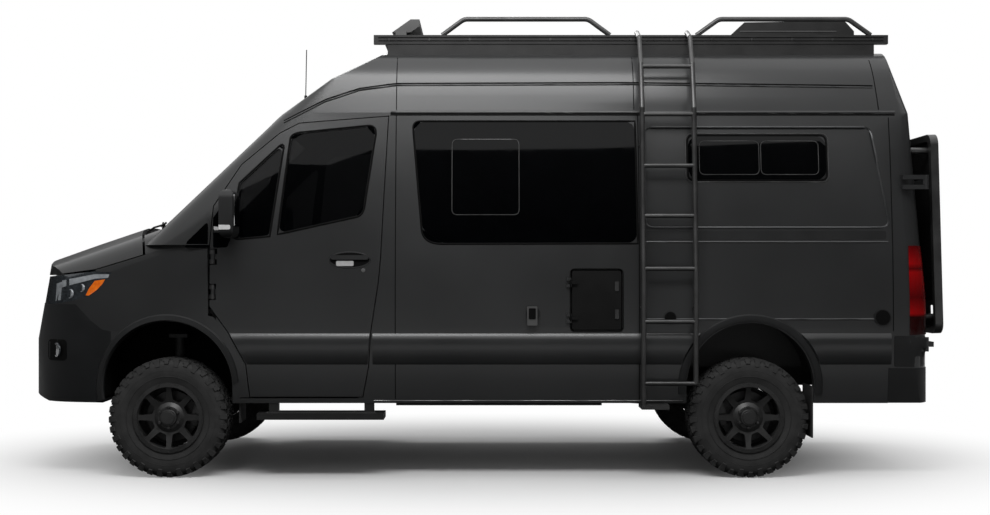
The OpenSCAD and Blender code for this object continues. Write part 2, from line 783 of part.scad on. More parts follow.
// Cross members: place along the van, depth of the underside below the rail top
CROSS = [[-600, 120], [-100, 120], [520, 80], [1300, 80], [wheelbase - 815, 80], [wheelbase + 835, 80]];
module chassis() color("#1d1e20") {
  both() translate([x_fa - 750, rail_y - 80, rail_z - 140]) cube([wheelbase + 1780, 80, 140]);
  for (m = CROSS) translate([x_fa + m[0], 40 - rail_y, rail_z - m[1]]) cube([80, 2 * rail_y - 80, 80]);
  both() intersection() {
    translate([x_ra + 1000, rail_y - 80, rail_z - 120]) cube([400, 80, 80]);
    cab_box(50.3);
  }
  intersection() {
    translate([x_fa - 1100, -rail_y, rail_z - 125]) cube([360, 2 * rail_y, 110]);
    nose_box(nose_t + 10);
  }
  // Hitch with its square receiver
  difference() {
    union() {
      translate([x_ra + 960, -rail_y + 20, 455]) cube([70, 2 * rail_y - 40, 60]);
      translate([x_ra + 960, -31.8, 400]) cube([240, 63.6, 63.6]);
      both() translate([x_ra + 960, rail_y - 70, 500]) cube([70, 50, 60]);
    }
    translate([x_ra + 1000, -25.4, 406.4]) cube([240, 50.8, 50.8]);
  }
}
module engine_block() color("#4a4b4c") {
  translate([x_fa - 560, -290, rail_z - 40]) cube([580, 580, 520]);
}
kp_y = wheel_y - 55;
module front_subframe() color("#1d1e20") {
  translate([x_fa - 170, -rail_y, rail_z - 260]) cube([340, 2 * rail_y, 120]);
  both() {
    difference() {
      union() {
        translate([x_fa, 0, 0]) along_x(-40, 40)
          polygon([[-kp_y, wheel_r - 150], [-kp_y, wheel_r - 122], [45 - kp_y, wheel_r - 122], [-600, 290],
            [4 - rail_y, 500], [4 - rail_y, 430], [-580, 250]]);
        translate([x_fa, -kp_y, wheel_r - 150]) cylinder(r = 40, h = 28);
        translate([x_fa - 25, -kp_y, wheel_r + 122]) cube([50, kp_y - 620, 28]);
        translate([x_fa, -kp_y, wheel_r + 122]) cylinder(r = 28, h = 28);
        translate([x_fa, -640, wheel_r + 122]) cylinder(r = 30, h = 380);
      }
      translate([x_fa, -kp_y, 100]) cylinder(r = 14 + run, h = 600);
    }
    translate([x_fa - 60, -690, 870]) cube([120, 310, 24]);
    translate([x_fa - 60, -rail_y, rail_z]) cube([120, 60, 194]);
  }
}
// Rear axle with its leaf springs and hangers
spring_y = 540;
module rear_axle() color("#1d1e20") {
  translate([x_ra, 0, wheel_r]) {
    rotate([90, 0, 0]) cylinder(r = 50, h = track - 250, center = true);
    rotate([90, 0, 0]) cylinder(r = 34, h = track + 120, center = true);
    rotate([90, 0, 0]) cylinder(r = 150, h = 170, center = true);
    translate([-230, 0, 0]) rotate([0, 90, 0]) cylinder(r = 60, h = 130);
  }
  both() {
    translate([x_ra, 0, 0]) translate([0, -spring_y, 0]) across(70) polygon(concat(
      [for (k = [-4:4]) [k * 160, 452 + 5.2 * k * k]], [for (k = [4:-1:-4]) [k * 160, 470 + 4.2 * k * k]]));
    translate([x_ra - 60, -spring_y - 42, wheel_r - 20]) cube([120, 84, 120]);
    for (x = [-640, 600]) translate([x_ra + x, -spring_y - 35, 524]) cube([40, 115, 60]);
  }
}
module driveline() color("#2a2b2c") {
  translate([x_fa + 20, -150, rail_z - 135]) cube([170, 300, 125]);
  translate([x_fa + 180, -150, rail_z - 180]) cube([340, 300, 170]);
  shaft = wheelbase - 750;
  drop = rail_z - 120 - wheel_r;
  translate([x_fa + 519, 0, rail_z - 120]) rotate([0, 90 + atan(drop / shaft), 0])
    cylinder(r = 34, h = norm([shaft, drop]) - 3);
}
module tanks() color("#1b1c1e") {
  translate([x_fa + 1400, -rail_y + 80, 395]) cube([1390, 320, 120]);
  for (x = [1420, 2700]) translate([x_fa + x, -rail_y + 10, 490]) cube([60, 400, rail_z - 630]);
}

// Cab fittings
module dash_form(g) across(1700) translate([x_fa, 0]) offset(delta = g)
  polygon([[100, 1061], [420, 1100], [520, 1250], [480, 1400], [250, 1460], [100, 1460]]);
module dashboard() color("#232427") intersection() {
  dash_form(0);
  cab_box(110);
}
module steering_wheel() color("#161718") difference() {
  translate([x_fa + 640, -400, 1390]) rotate([0, 58, 0]) {
    rotate_extrude() translate([185, 0]) circle(r = 15);
    translate([0, 0, -20]) cylinder(r = 60, h = 35);
    for (a = [0, 120, 240]) rotate([0, 0, a]) translate([50, -14, -8]) cube([128, 28, 16]);
    translate([0, 0, -200]) cylinder(r = 26, h = 190);
  }
  dash_form(0.3);
}
module front_seats() color("#232326") both() translate([x_fa + 930, -640, floor_z]) {
  translate([60, 60, 0]) cube([380, 360, 240]);
  translate([0, 0, 240]) cube([520, 480, 170]);
  translate([440, 20, 370]) rotate([0, 12, 0]) cube([130, 440, 660]);
  translate([590, 110, 1010]) rotate([0, 8, 0]) cube([100, 260, 210]);
}

// Roof rack and what it carries
rack_x0 = x_fa + 1279;
rack_x1 = x_fa + 4610;
rack_y = half_w - 265;
rail_h = 58;
AC = [3609, 4504];
module roof_rack() color("#151617") {
  both() difference() {
    union() {
      translate([rack_x0, -rack_y, rack_z - rail_h]) cube([rack_x1 - rack_x0, 40, rail_h]);
      translate([rack_x0 + 90, -rack_y + 6, 2600]) cube([rack_x1 - rack_x0 - 180, 10, rack_z - 2610]);
    }
    cab_box(0);
  }
  for (k = [0:11]) {
    x = 1340 + 275 * k;
    if (x + 90 < AC[0] || x > AC[1])
      translate([x_fa + x, -rack_y + 40.3, rack_z - 36]) cube([80, 2 * rack_y - 80.6, 28]);
  }
}
// Hoops on the rails: front and rear feet, top length
HOOPS = [[1722, 2810, 141], [3372, 4502, 145]];
module rod(a, b, d) {
  v = b - a;
  l = norm(v);
  translate(a) rotate([0, acos(v[2] / l), atan2(v[1], v[0])]) cylinder(d = d, h = l);
}
module rack_hoops() color("#151617") both() for (h = HOOPS) intersection() {
  union() {
    zt = hoop_z - tube_d / 2;
    y = -rack_y + 20;
    p = [[x_fa + h[0], y, rack_z - 20], [x_fa + h[0] + h[2], y, zt],
      [x_fa + h[1] - h[2], y, zt], [x_fa + h[1], y, rack_z - 20]];
    for (k = [0:2]) rod(p[k], p[k + 1], tube_d);
    for (k = [1, 2]) translate(p[k]) sphere(d = tube_d + 1);
  }
  translate([-4000, -1500, rack_z]) cube([8000, 3000, 400]);
}
module wind_deflector() color("#6f7375") {
  across(2 * rack_y - 110) translate([x_fa, 0])
    polygon([[1394, 2860], [1515, 2945], [1573, 2945], [1573, 2902], [1515, 2860]]);
  both() translate([x_fa + 1420, -rack_y + 5, rack_z]) cube([70, 60, 30]);
}
module air_conditioner() color("#141516") difference() {
  across(700) translate([x_fa, 0])
    polygon([[AC[0], 2700], [AC[0], 2850], [3760, 2990], [4440, 3000], [AC[1], 2930], [AC[1], 2700]]);
  cab_box(0);
}

// Ladder on the left side: rails, rungs, standoffs and the foot on the sill
LADDER_X = [2985, 3310];
ladder_foot_y = -half_w - 68;
LADDER_PATH = [[ladder_foot_y, 606], [ladder_foot_y, 1300], [10 - half_w, 2330], [80 - half_w, 2620],
  [165 - half_w, 2800], [285 - half_w, 2850]];
RUNGS = [606, 990, 1320, 1650, 1965, 2290, 2600];
function ladder_y(z, k = 0) = z <= LADDER_PATH[k + 1][1] ?
  LADDER_PATH[k][0] + (LADDER_PATH[k + 1][0] - LADDER_PATH[k][0]) * (z - LADDER_PATH[k][1])
  / (LADDER_PATH[k + 1][1] - LADDER_PATH[k][1]) : ladder_y(z, k + 1);
module ladder() color("#151617") {
  difference() {
    union() {
      for (x = LADDER_X, k = [0:len(LADDER_PATH) - 2]) {
        rod(concat([x_fa + x], LADDER_PATH[k]), concat([x_fa + x], LADDER_PATH[k + 1]), tube_d);
        translate(concat([x_fa + x], LADDER_PATH[k])) sphere(d = tube_d + 1);
      }
      for (z = RUNGS)
        rod([x_fa + LADDER_X[0], ladder_y(z), z], [x_fa + LADDER_X[1], ladder_y(z), z], tube_d - 4);
      for (x = LADDER_X, z = [1080, 2100])
        rod([x_fa + x, ladder_y(z), z], [x_fa + x, 110 - half_w, z], tube_d - 8);
      rod([x_fa + LADDER_X[0], ladder_foot_y, 606], [x_fa + LADDER_X[0], ladder_foot_y, 450], tube_d);
      translate([x_fa + LADDER_X[0] - 12, ladder_foot_y - 12, 445]) cube([170, 175, 29.5]);
    }
    cab_box(0);
    translate([-4000, -rack_y, 2000]) cube([8000, 300, rack_z - 2000]);
    translate([-4000, -rack_y + 40, 2000]) cube([8000, 300, 2000]);
  }
}
module side_steps() color("#151617") both() {
  translate([x_fa + 573, -half_w - 30, 376]) cube([793, 180, 40]);
  for (x = [640, 1240]) translate([x_fa + x, 30 - half_w, 410]) cube([60, 45, 65]);
}
module mud_flaps() color("#151617") both() {
  translate([x_fa + arch_f + 33.3, 65 - half_w, 345]) cube([8.7, 195, 330]);
  translate([x_ra + arch_r - 9, 35 - half_w, 255]) cube([8.7, 235, well_z - 255]);
}

// Steering knuckles and wheels
module knuckle() difference() {
  union() {
    translate([x_fa, -kp_y, wheel_r - 120]) cylinder(r = 36, h = 240);
    translate([x_fa, -kp_y, wheel_r - 150]) cylinder(r = 14, h = 300);
    translate([x_fa, -kp_y, wheel_r]) rotate([90, 0, 0]) cylinder(r = 34, h = 55 + 60);
  }
}
module knuckle_left() color("#2c2d2f") knuckle();
module knuckle_right() color("#2c2d2f") mirror([0, 1, 0]) knuckle();
bead_r = rim_d / 2 - 13;
module rim() rotate([90, 0, 0]) difference() {
  union() {
    rotate_extrude() polygon([[bead_r - 12, -112], [rim_d / 2, -112], [rim_d / 2, -101], [bead_r, -101],
      [bead_r, 101], [rim_d / 2, 101], [rim_d / 2, 112], [bead_r - 12, 112]]);
    rotate_extrude()
      polygon([[0, 0], [80, 0], [95, 34], [bead_r - 6, 62], [bead_r - 6, 96], [95, 70], [70, 84], [0, 84]]);
  }
  cylinder(r = 34 + run, h = 124, center = true);
  for (k = [0:spokes - 1]) rotate([0, 0, 360 / spokes * (k + 0.5)]) translate([0, 0, 20])
    linear_extrude(200) offset(r = 12) offset(delta = -12)
      polygon([[108, -22], [108, 22], [bead_r - 22, 62], [bead_r - 14, 0], [bead_r - 22, -62]]);
}
module tyre() rotate([90, 0, 0]) rotate_extrude()
  polygon([[bead_r + 0.3, -100.5], [rim_d / 2 + 2, -100.5], [250, -tyre_w / 2 + 4], [300, -tyre_w / 2],
    [wheel_r - 33, -tyre_w / 2 + 4], [wheel_r - 10, -tyre_w / 2 + 16], [wheel_r, -tyre_w / 2 + 32],
    [wheel_r, tyre_w / 2 - 32], [wheel_r - 10, tyre_w / 2 - 16], [wheel_r - 33, tyre_w / 2 - 4],
    [300, tyre_w / 2], [250, tyre_w / 2 - 4], [rim_d / 2 + 2, 100.5], [bead_r + 0.3, 100.5]]);
module at_wheel(x, s) translate([x, s * wheel_y, wheel_r]) mirror([0, s > 0 ? 1 : 0, 0]) children();
module rims_front_left() color("#1a1b1c") at_wheel(x_fa, -1) rim();
module rims_front_right() color("#1a1b1c") at_wheel(x_fa, 1) rim();
module rims_rear_left() color("#1a1b1c") at_wheel(x_ra, -1) rim();
module rims_rear_right() color("#1a1b1c") at_wheel(x_ra, 1) rim();
module tyre_front_left() color("#1f1f20") at_wheel(x_fa, -1) tyre();
module tyre_front_right() color("#1f1f20") at_wheel(x_fa, 1) tyre();
module tyre_rear_left() color("#1f1f20") at_wheel(x_ra, -1) tyre();
module tyre_rear_right() color("#1f1f20") at_wheel(x_ra, 1) tyre();

floor();
side_left();
side_right();
sliding_door();
roof();
cab_frame();
cowl();
wings();
front_bumper();
wheel_liners();
grille();
headlamps();
windshield();
side_glass();
rear_windows();
tail_lamps();
rear_bumper();
engine_block();
chassis();
front_subframe();
rear_axle();
driveline();
tanks();
dashboard();
steering_wheel();
front_seats();
roof_rack();
rack_hoops();
wind_deflector();
air_conditioner();
ladder();
side_steps();
mud_flaps();
side_ports();
hood();
door_left();
door_left_glass();
mirror_left();
door_right();
door_right_glass();
mirror_right();
rear_door_left();
rear_door_right();
rear_door_glass_left();
rear_door_glass_right();
carrier_left();
carrier_right();
hatch_door();
knuckle_left();
knuckle_right();
rims_front_left();
rims_front_right();
rims_rear_left();
rims_rear_right();
tyre_front_left();
tyre_front_right();
tyre_rear_left();
tyre_rear_right();
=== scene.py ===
import json
from math import acos, cos, dist, hypot, pi, radians, sin, sqrt, tan

import bmesh
import bpy
from mathutils import Matrix, Vector
from mathutils.bvhtree import BVHTree


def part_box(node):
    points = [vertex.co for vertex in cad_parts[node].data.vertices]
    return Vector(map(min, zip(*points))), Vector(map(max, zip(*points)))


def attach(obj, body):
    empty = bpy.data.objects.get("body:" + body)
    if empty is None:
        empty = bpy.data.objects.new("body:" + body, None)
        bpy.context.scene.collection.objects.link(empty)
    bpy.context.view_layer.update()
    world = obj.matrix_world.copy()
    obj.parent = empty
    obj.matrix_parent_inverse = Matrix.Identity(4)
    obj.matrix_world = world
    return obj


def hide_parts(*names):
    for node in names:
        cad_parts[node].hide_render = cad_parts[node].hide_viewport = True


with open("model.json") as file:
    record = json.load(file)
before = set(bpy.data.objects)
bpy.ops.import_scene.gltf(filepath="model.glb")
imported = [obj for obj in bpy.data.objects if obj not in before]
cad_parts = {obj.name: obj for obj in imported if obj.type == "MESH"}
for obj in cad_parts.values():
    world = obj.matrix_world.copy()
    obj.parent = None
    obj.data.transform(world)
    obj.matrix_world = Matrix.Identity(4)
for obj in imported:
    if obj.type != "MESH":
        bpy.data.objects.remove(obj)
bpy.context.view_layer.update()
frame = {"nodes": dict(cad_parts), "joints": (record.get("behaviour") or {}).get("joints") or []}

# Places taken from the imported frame: X to the rear, Y to the right, Z up, in metres
NODES = frame["nodes"]
JOINTS = {j["name"]: j for j in frame["joints"]}
X_FA = JOINTS["spin_front_left"]["pos_m"][0]
X_RA = JOINTS["spin_rear_left"]["pos_m"][0]
WHEEL_R = JOINTS["spin_front_left"]["pos_m"][2]
WHEEL_Y = JOINTS["spin_front_right"]["pos_m"][1]
LEFT, RIGHT = -1, 1
# Rays that look for a surface start beside the van, or beyond its ends and roof
BESIDE = 2.0
BEYOND = 5.0
# Half the van's width, taken where a ray misses the body
HALF_W = 1.0

# The photograph's frame and the camera that fits it
PHOTO_W = 990
FOCAL_PX = 1278
CENTRE_PX = (495, 257.5)
AIM_PX = (481.5, 266)
CAMERA_AT = (X_FA + 1.977, -9.020, 1.337)
SENSOR_MM = 36


# Materials
def new_material(name):
    """A material, its node tree and its main shader."""
    m = bpy.data.materials.new(name)
    m.use_nodes = True
    return m, m.node_tree, m.node_tree.nodes["Principled BSDF"]


def put(node, values):
    """Sets constant values on a node's inputs."""
    for name, value in values.items():
        node.inputs[name].default_value = value
    return node


def noise(tree, scale, detail=4.0):
    place = tree.nodes.new("ShaderNodeTexCoord")
    drift = put(tree.nodes.new("ShaderNodeTexNoise"), {"Scale": scale, "Detail": detail})
    tree.links.new(place.outputs["Object"], drift.inputs["Vector"])
    return drift.outputs["Fac"]


def ramp(tree, source, stops):
    r = tree.nodes.new("ShaderNodeValToRGB")
    while len(r.color_ramp.elements) < len(stops):
        r.color_ramp.elements.new(0.5)
    for element, (at, colour) in zip(r.color_ramp.elements, stops):
        element.position = at
        element.color = (*colour, 1)
    tree.links.new(source, r.inputs["Fac"])
    return r.outputs["Color"]


def map_range(tree, source, values, style="LINEAR"):
    r = put(tree.nodes.new("ShaderNodeMapRange"), values)
    r.interpolation_type = style
    tree.links.new(source, r.inputs["Value"])
    return r.outputs["Result"]


def spread(tree, source, low, high):
    """The usual span of a noise, stretched to a span from low to high."""
    return map_range(tree, source, {"From Min": 0.3, "From Max": 0.7, "To Min": low, "To Max": high})


def by_height(tree, low, high):
    """How far up a point of the object lies, as a share of the way between two heights."""
    place = tree.nodes.new("ShaderNodeTexCoord")
    split = tree.nodes.new("ShaderNodeSeparateXYZ")
    tree.links.new(place.outputs["Object"], split.inputs["Vector"])
    return map_range(tree, split.outputs["Z"], {"From Min": low, "From Max": high})


def combine(tree, operation, a, b):
    node = tree.nodes.new("ShaderNodeMath")
    node.operation = operation
    tree.links.new(a, node.inputs[0])
    tree.links.new(b, node.inputs[1])
    return node.outputs[0]


def seen_rays(tree):
    """1 for rays from the camera, off shiny surfaces and through glass, 0 for all others."""
    ray = tree.nodes.new("ShaderNodeLightPath")
    seen = combine(tree, "MAXIMUM", ray.outputs["Is Camera Ray"], ray.outputs["Is Glossy Ray"])
    return combine(tree, "MAXIMUM", seen, ray.outputs["Is Transmission Ray"])


def mix_surface(tree, share, first, second):
    """Makes a material's surface a mix of two shaders."""
    mix = tree.nodes.new("ShaderNodeMixShader")
    tree.links.new(share, mix.inputs["Fac"])
    tree.links.new(first, mix.inputs[1])
    tree.links.new(second, mix.inputs[2])
    tree.links.new(mix.outputs["Shader"], tree.nodes["Material Output"].inputs["Surface"])


def surface(name, low, high, rough, patch, grain=900.0, depth=0.0, metal=0.0, spec=0.5, coat=0.0,
            coat_rough=0.15):
    """Finish whose colour and roughness drift over patches, with a fine grain as bump."""
    m, tree, p = new_material(name)
    drift = noise(tree, patch)
    tree.links.new(ramp(tree, drift, [(0.3, low), (0.7, high)]), p.inputs["Base Color"])
    tree.links.new(spread(tree, drift, rough * 0.92, min(1, rough * 1.1)), p.inputs["Roughness"])
    put(p, {"Metallic": metal, "Specular IOR Level": spec, "Coat Weight": coat, "Coat Roughness": coat_rough})
    if depth:
        bump = put(tree.nodes.new("ShaderNodeBump"), {"Strength": 0.6, "Distance": depth})
        tree.links.new(noise(tree, grain, 2.0), bump.inputs["Height"])
        tree.links.new(bump.outputs["Normal"], p.inputs["Normal"])
    return m


def grey(v, tint=0.0):
    return (v, v * (1 + tint * 0.5), v * (1 + tint))


def glass(name, alpha):
    """Dark glass with a little dust; alpha is how much of what lies behind it is hidden."""
    m, tree, p = new_material(name)
    dust = noise(tree, 9.0)
    clean, dusty = (0.0005, 0.0006, 0.0008), (0.0008, 0.00096, 0.00128)
    tree.links.new(ramp(tree, dust, [(0.3, clean), (0.7, dusty)]), p.inputs["Base Color"])
    tree.links.new(spread(tree, dust, 0.02, 0.04), p.inputs["Roughness"])
    put(p, {"Specular IOR Level": 0.25, "Alpha": alpha})
    return m


def lamp_red(z0, z1):
    """Tail lamp lens: a dark foot, with bands of bright and deep red over it."""
    m, tree, p = new_material("lamp_red")
    deep, dark, bright = (0.10, 0.001, 0.002), (0.02, 0.0005, 0.0005), (0.36, 0.003, 0.004)
    stops = [(0.0, dark), (0.2, dark), (0.24, bright), (0.42, deep), (0.7, bright), (0.74, deep),
             (0.8, bright), (1.0, deep)]
    tree.links.new(ramp(tree, by_height(tree, z0, z1), stops), p.inputs["Base Color"])
    tree.links.new(spread(tree, noise(tree, 40.0), 0.08, 0.14), p.inputs["Roughness"])
    put(p, {"Coat Weight": 0.6})
    return m


PAINT = surface("paint", grey(0.020, 0.05), grey(0.027, 0.05), 0.36, 1.3, 2500, 0.00004, metal=0.25,
                spec=0.45, coat=0.25, coat_rough=0.2)
# Dark plastic trim, also used as a plate of painted shade in the belt groove
CLADDING_AND_SHADE = surface("cladding", grey(0.007, 0.08), grey(0.011, 0.08), 0.52, 7.0, 1400, 0.00012, spec=0.3)
BUMPER = surface("bumper_plastic", grey(0.005, 0.2), grey(0.008, 0.2), 0.56, 7.0, 1400, 0.00012, spec=0.23)
BLACK = surface("black_coat", grey(0.009), grey(0.014), 0.45, 9.0, 1800, 0.00008, spec=0.4)
SATIN = surface("satin_black", grey(0.05), grey(0.075), 0.36, 9.0, 1800, 0.00005, metal=0.7, spec=0.5)
RIM = surface("rim_black", grey(0.04), grey(0.06), 0.40, 14.0, 1800, 0.00005, metal=0.6, spec=0.5)
RUBBER = surface("rubber", grey(0.022), grey(0.038), 0.72, 16.0, 700, 0.0003, spec=0.3)
# Near black of seams, gaskets and recesses, also used as painted shade along the roof crease and under the
# gutter
DARK_SEAM_AND_SHADE = surface("seam", grey(0.002), grey(0.003), 0.8, 20.0, spec=0.1)
# Bright metal of the door lock, also used as a painted highlight along the sill
EDGE = surface("bright_edge", grey(0.14), grey(0.19), 0.3, 20.0, metal=0.6)
# Painted highlight along the belt lines and round the pressed panel
HILITE = surface("crease_paint", grey(0.05, 0.05), grey(0.065, 0.05), 0.36, 3.0, metal=0.3)
FRAME_GREY = surface("frame_grey", grey(0.05), grey(0.07), 0.4, 20.0, metal=0.4)
STEEL = surface("coated_steel", grey(0.016), grey(0.032), 0.6, 10.0, 500, 0.0003, metal=0.2)
CAST = surface("cast_metal", grey(0.12), grey(0.2), 0.5, 12.0, 400, 0.0004, metal=0.7)
DISC = surface("brake_disc", grey(0.05), grey(0.09), 0.45, 40.0, 900, 0.0001, metal=0.9)
HATCH_BLACK = surface("hatch_black", grey(0.003), grey(0.005), 0.55, 9.0, 1400, 0.0001, spec=0.15)
LINER = surface("wheel_liner", grey(0.003), grey(0.005), 0.9, 12.0, 500, 0.0003, spec=0.1)
# Pale grey of the flap in each handle cup, a painted highlight
PALE_FLAP_HIGHLIGHT = surface("handle_metal", grey(0.5), grey(0.6), 0.3, 30.0, metal=0.3)
TRIM = surface("cabin_trim", grey(0.016), grey(0.024), 0.65, 12.0, 1500, 0.0002, spec=0.3)
CLOTH = surface("seat_cloth", grey(0.016), grey(0.028), 0.85, 30.0, 2600, 0.0004, spec=0.2)
FLOOR_PAINT = surface("floor_paint", grey(0.016), grey(0.028), 0.6, 4.0, 600, 0.0002)
DEFLECTOR = surface("deflector_grey", grey(0.07), grey(0.09), 0.42, 6.0, 1500, 0.00005, metal=0.4)
CHROME = surface("bright_metal", grey(0.55), grey(0.65), 0.12, 30.0, metal=1.0)
WHITE_LENS = surface("white_lens", grey(0.6), grey(0.72), 0.12, 60.0, 300, 0.0006, coat=0.6)
AMBER = surface("amber_lens", (0.75, 0.12, 0.006), (0.9, 0.2, 0.01), 0.12, 60.0, 300, 0.0006, coat=0.6)
LAMP_DARK = surface("lamp_inside", grey(0.025, 0.3), grey(0.05, 0.3), 0.18, 60.0, metal=0.3, coat=0.6,
                    coat_rough=0.03)
LAMP_SILVER = surface("lamp_silver", grey(0.36, 0.12), grey(0.52, 0.12), 0.2, 40.0, metal=0.4, coat=0.6,
                      coat_rough=0.03)
PRIVACY = glass("privacy_glass", 1.0)
CAB_GLASS = glass("cab_glass", 0.80)
SCREEN = glass("windshield_glass", 0.62)
RED = lamp_red(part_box("tail_lamps")[0].z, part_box("tail_lamps")[1].z)

NODE_FINISH = {
    PAINT: ("side_left", "side_right", "sliding_door", "roof", "cab_frame", "wings", "hood", "door_left",
            "door_right", "rear_door_left", "rear_door_right"),
    BUMPER: ("front_bumper",),
    CLADDING_AND_SHADE: ("rear_bumper", "cowl", "mirror_left", "mirror_right", "side_ports"),
    BLACK: ("grille", "roof_rack", "side_steps", "air_conditioner"),
    HATCH_BLACK: ("hatch_door",),
    SATIN: ("rack_hoops", "ladder", "carrier_left", "carrier_right"),
    STEEL: ("chassis", "front_subframe", "rear_axle", "driveline", "knuckle_left", "knuckle_right"),
    RIM: tuple(n for n in NODES if n.startswith("rims_")),
    RUBBER: ("mud_flaps", *(n for n in NODES if n.startswith("tyre_"))),
    TRIM: ("dashboard", "steering_wheel", "tanks"),
    PRIVACY: ("side_glass", "rear_windows", "rear_door_glass_left", "rear_door_glass_right"),
    CAB_GLASS: ("door_left_glass", "door_right_glass"),
    SCREEN: ("windshield",),
    RED: ("tail_lamps",),
    LAMP_DARK: ("headlamps",),
    CAST: ("engine_block",),
    LINER: ("wheel_liners",),
    CLOTH: ("front_seats",),
    FLOOR_PAINT: ("floor",),
    DEFLECTOR: ("wind_deflector",),
}


def smooth_group():
    """Geometry nodes that weld a solid's faces and shade it smooth, apart from its sharp edges."""
    g = bpy.data.node_groups.new("smooth_solid", "GeometryNodeTree")
    g.interface.new_socket("Geometry", in_out="INPUT", socket_type="NodeSocketGeometry")
    g.interface.new_socket("Geometry", in_out="OUTPUT", socket_type="NodeSocketGeometry")
    source, result = g.nodes.new("NodeGroupInput"), g.nodes.new("NodeGroupOutput")
    weld = g.nodes.new("GeometryNodeMergeByDistance")
    weld.inputs["Distance"].default_value = 0.00005
    angle = g.nodes.new("GeometryNodeInputMeshEdgeAngle")
    blunt = g.nodes.new("FunctionNodeCompare")
    blunt.data_type, blunt.operation = "FLOAT", "LESS_THAN"
    blunt.inputs["B"].default_value = radians(28)
    faces = g.nodes.new("GeometryNodeSetShadeSmooth")
    edges = g.nodes.new("GeometryNodeSetShadeSmooth")
    edges.domain = "EDGE"
    chain = (source, weld, faces, edges, result)
    for a, b in zip(chain, chain[1:]):
        g.links.new(a.outputs["Geometry"], b.inputs["Geometry"])
    g.links.new(angle.outputs["Unsigned Angle"], blunt.inputs["A"])
    g.links.new(blunt.outputs["Result"], edges.inputs["Shade Smooth"])
    return g


SMOOTH = smooth_group()
for finish, names in NODE_FINISH.items():
    for name in names:
        NODES[name].data.materials.clear()
        NODES[name].data.materials.append(finish)
        NODES[name].modifiers.new("smooth", "NODES").node_group = SMOOTH


# Mesh helpers
def show(name, data):
    """An object in the scene from a mesh, a light or a camera."""
    thing = bpy.data.objects.new(name, data)
    bpy.context.scene.collection.objects.link(thing)
    return thing


def mesh_from(name, bm):
    mesh = bpy.data.meshes.new(name)
    bm.to_mesh(mesh)
    bm.free()
    return mesh


def smooth_mesh(name, bm, finish, sharp):
    """A mesh with one finish, smooth but for edges that turn by more than so many degrees."""
    bmesh.ops.recalc_face_normals(bm, faces=bm.faces)
    mesh = mesh_from(name, bm)
    mesh.shade_smooth()
    mesh.set_sharp_from_angle(angle=radians(sharp))
    mesh.materials.append(finish)
    return mesh


def add(name, bm, body, finish, sharp=32):
    """A piece from a bmesh, riding on a body."""
    piece = show(name, smooth_mesh(name, bm, finish, sharp))
    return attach(piece, body)


def turns(count):
    """Angles in even steps round a circle."""
    return [2 * pi * k / count for k in range(count)]


def join_rings(bm, rings, looped=False, capped=True):
    """Faces between rings of points; the last ring is joined to the first, or the ends are closed."""
    for a, b in zip(rings, rings[1:] + (rings[:1] if looped else [])):
        for i in range(len(a)):
            j = (i + 1) % len(a)
            bm.faces.new((a[i], a[j], b[j], b[i]))
    if capped and not looped:
        bm.faces.new(rings[0])
        bm.faces.new(rings[-1])


def tube(bm, path, radius, sides, closed=False):
    """A round bar along a path of points."""
    path = [Vector(p) for p in path]
    rings = []
    across = None
    for k, p in enumerate(path):
        before = path[k - 1] if k or closed else p
        after = path[(k + 1) % len(path)] if k + 1 < len(path) or closed else p
        along = (after - before).normalized()
        if across is None:
            across = along.orthogonal().normalized()
        across = (across - along * across.dot(along)).normalized()
        up = along.cross(across)
        ring = [p + radius * (cos(t) * across + sin(t) * up) for t in turns(sides)]
        rings.append([bm.verts.new(q) for q in ring])
    join_rings(bm, rings, looped=closed)


def block(bm, centre, size, bevel, turn=Matrix.Identity(3)):
    """A box with rounded edges, turned about its centre."""
    verts = bmesh.ops.create_cube(bm, size=1.0)["verts"]
    bmesh.ops.scale(bm, vec=size, verts=verts)
    edges = list(dict.fromkeys(e for v in verts for e in v.link_edges))
    done = bmesh.ops.bevel(bm, geom=edges, offset=bevel, segments=2, affect="EDGES", profile=0.5)
    verts = list({v for f in done["faces"] for v in f.verts} | {v for v in verts if v.is_valid})
    place = Matrix.Translation(Vector(centre)) @ turn.to_4x4()
    bmesh.ops.transform(bm, matrix=place, verts=verts)


def disc(bm, centre, normal, radius, height, sides, inner=0.0):
    """A round plate, or a ring if it has an inner radius, standing on its centre along normal."""
    turn = Vector(normal).to_track_quat("Z", "Y").to_matrix().to_4x4()
    place = Matrix.Translation(Vector(centre)) @ turn
    chamfer = min(0.25 * height, 0.003)
    profile = [(radius, 0), (radius, height - chamfer), (radius - chamfer, height)]
    if inner:
        profile += [(inner, height), (inner, 0)]
    rings = []
    for r, z in profile:
        ring = [place @ Vector((r * cos(t), r * sin(t), z)) for t in turns(sides)]
        rings.append([bm.verts.new(q) for q in ring])
    join_rings(bm, rings, looped=inner > 0)


def curve(start, tip, end, steps):
    """Points of a bend from start to end that heads for tip on its way."""
    shares = [k / steps for k in range(steps + 1)]
    bend = [(1 - t) ** 2 * start + 2 * t * (1 - t) * tip + t * t * end for t in shares]
    return [(q.x, q.y) for q in bend]


def rounded(points, radius, steps=5):
    """An outline with its corners turned into bends."""
    out = []
    for k, p in enumerate(points):
        p, a, b = Vector(p), Vector(points[k - 1]), Vector(points[(k + 1) % len(points)])
        u, v = (a - p).normalized(), (b - p).normalized()
        half = acos(max(-1, min(1, u.dot(v)))) / 2
        cut = min(radius / tan(half), 0.45 * (a - p).length, 0.45 * (b - p).length)
        out += curve(p + u * cut, p, p + v * cut, steps)
    return out


def box_outline(x0, x1, z0, z1, radius, steps=5):
    return rounded([(x0, z0), (x1, z0), (x1, z1), (x0, z1)], radius, steps)


def wider(box, by):
    """A box of X and Z set outward on all sides."""
    x0, x1, z0, z1 = box
    return x0 - by, x1 + by, z0 - by, z1 + by


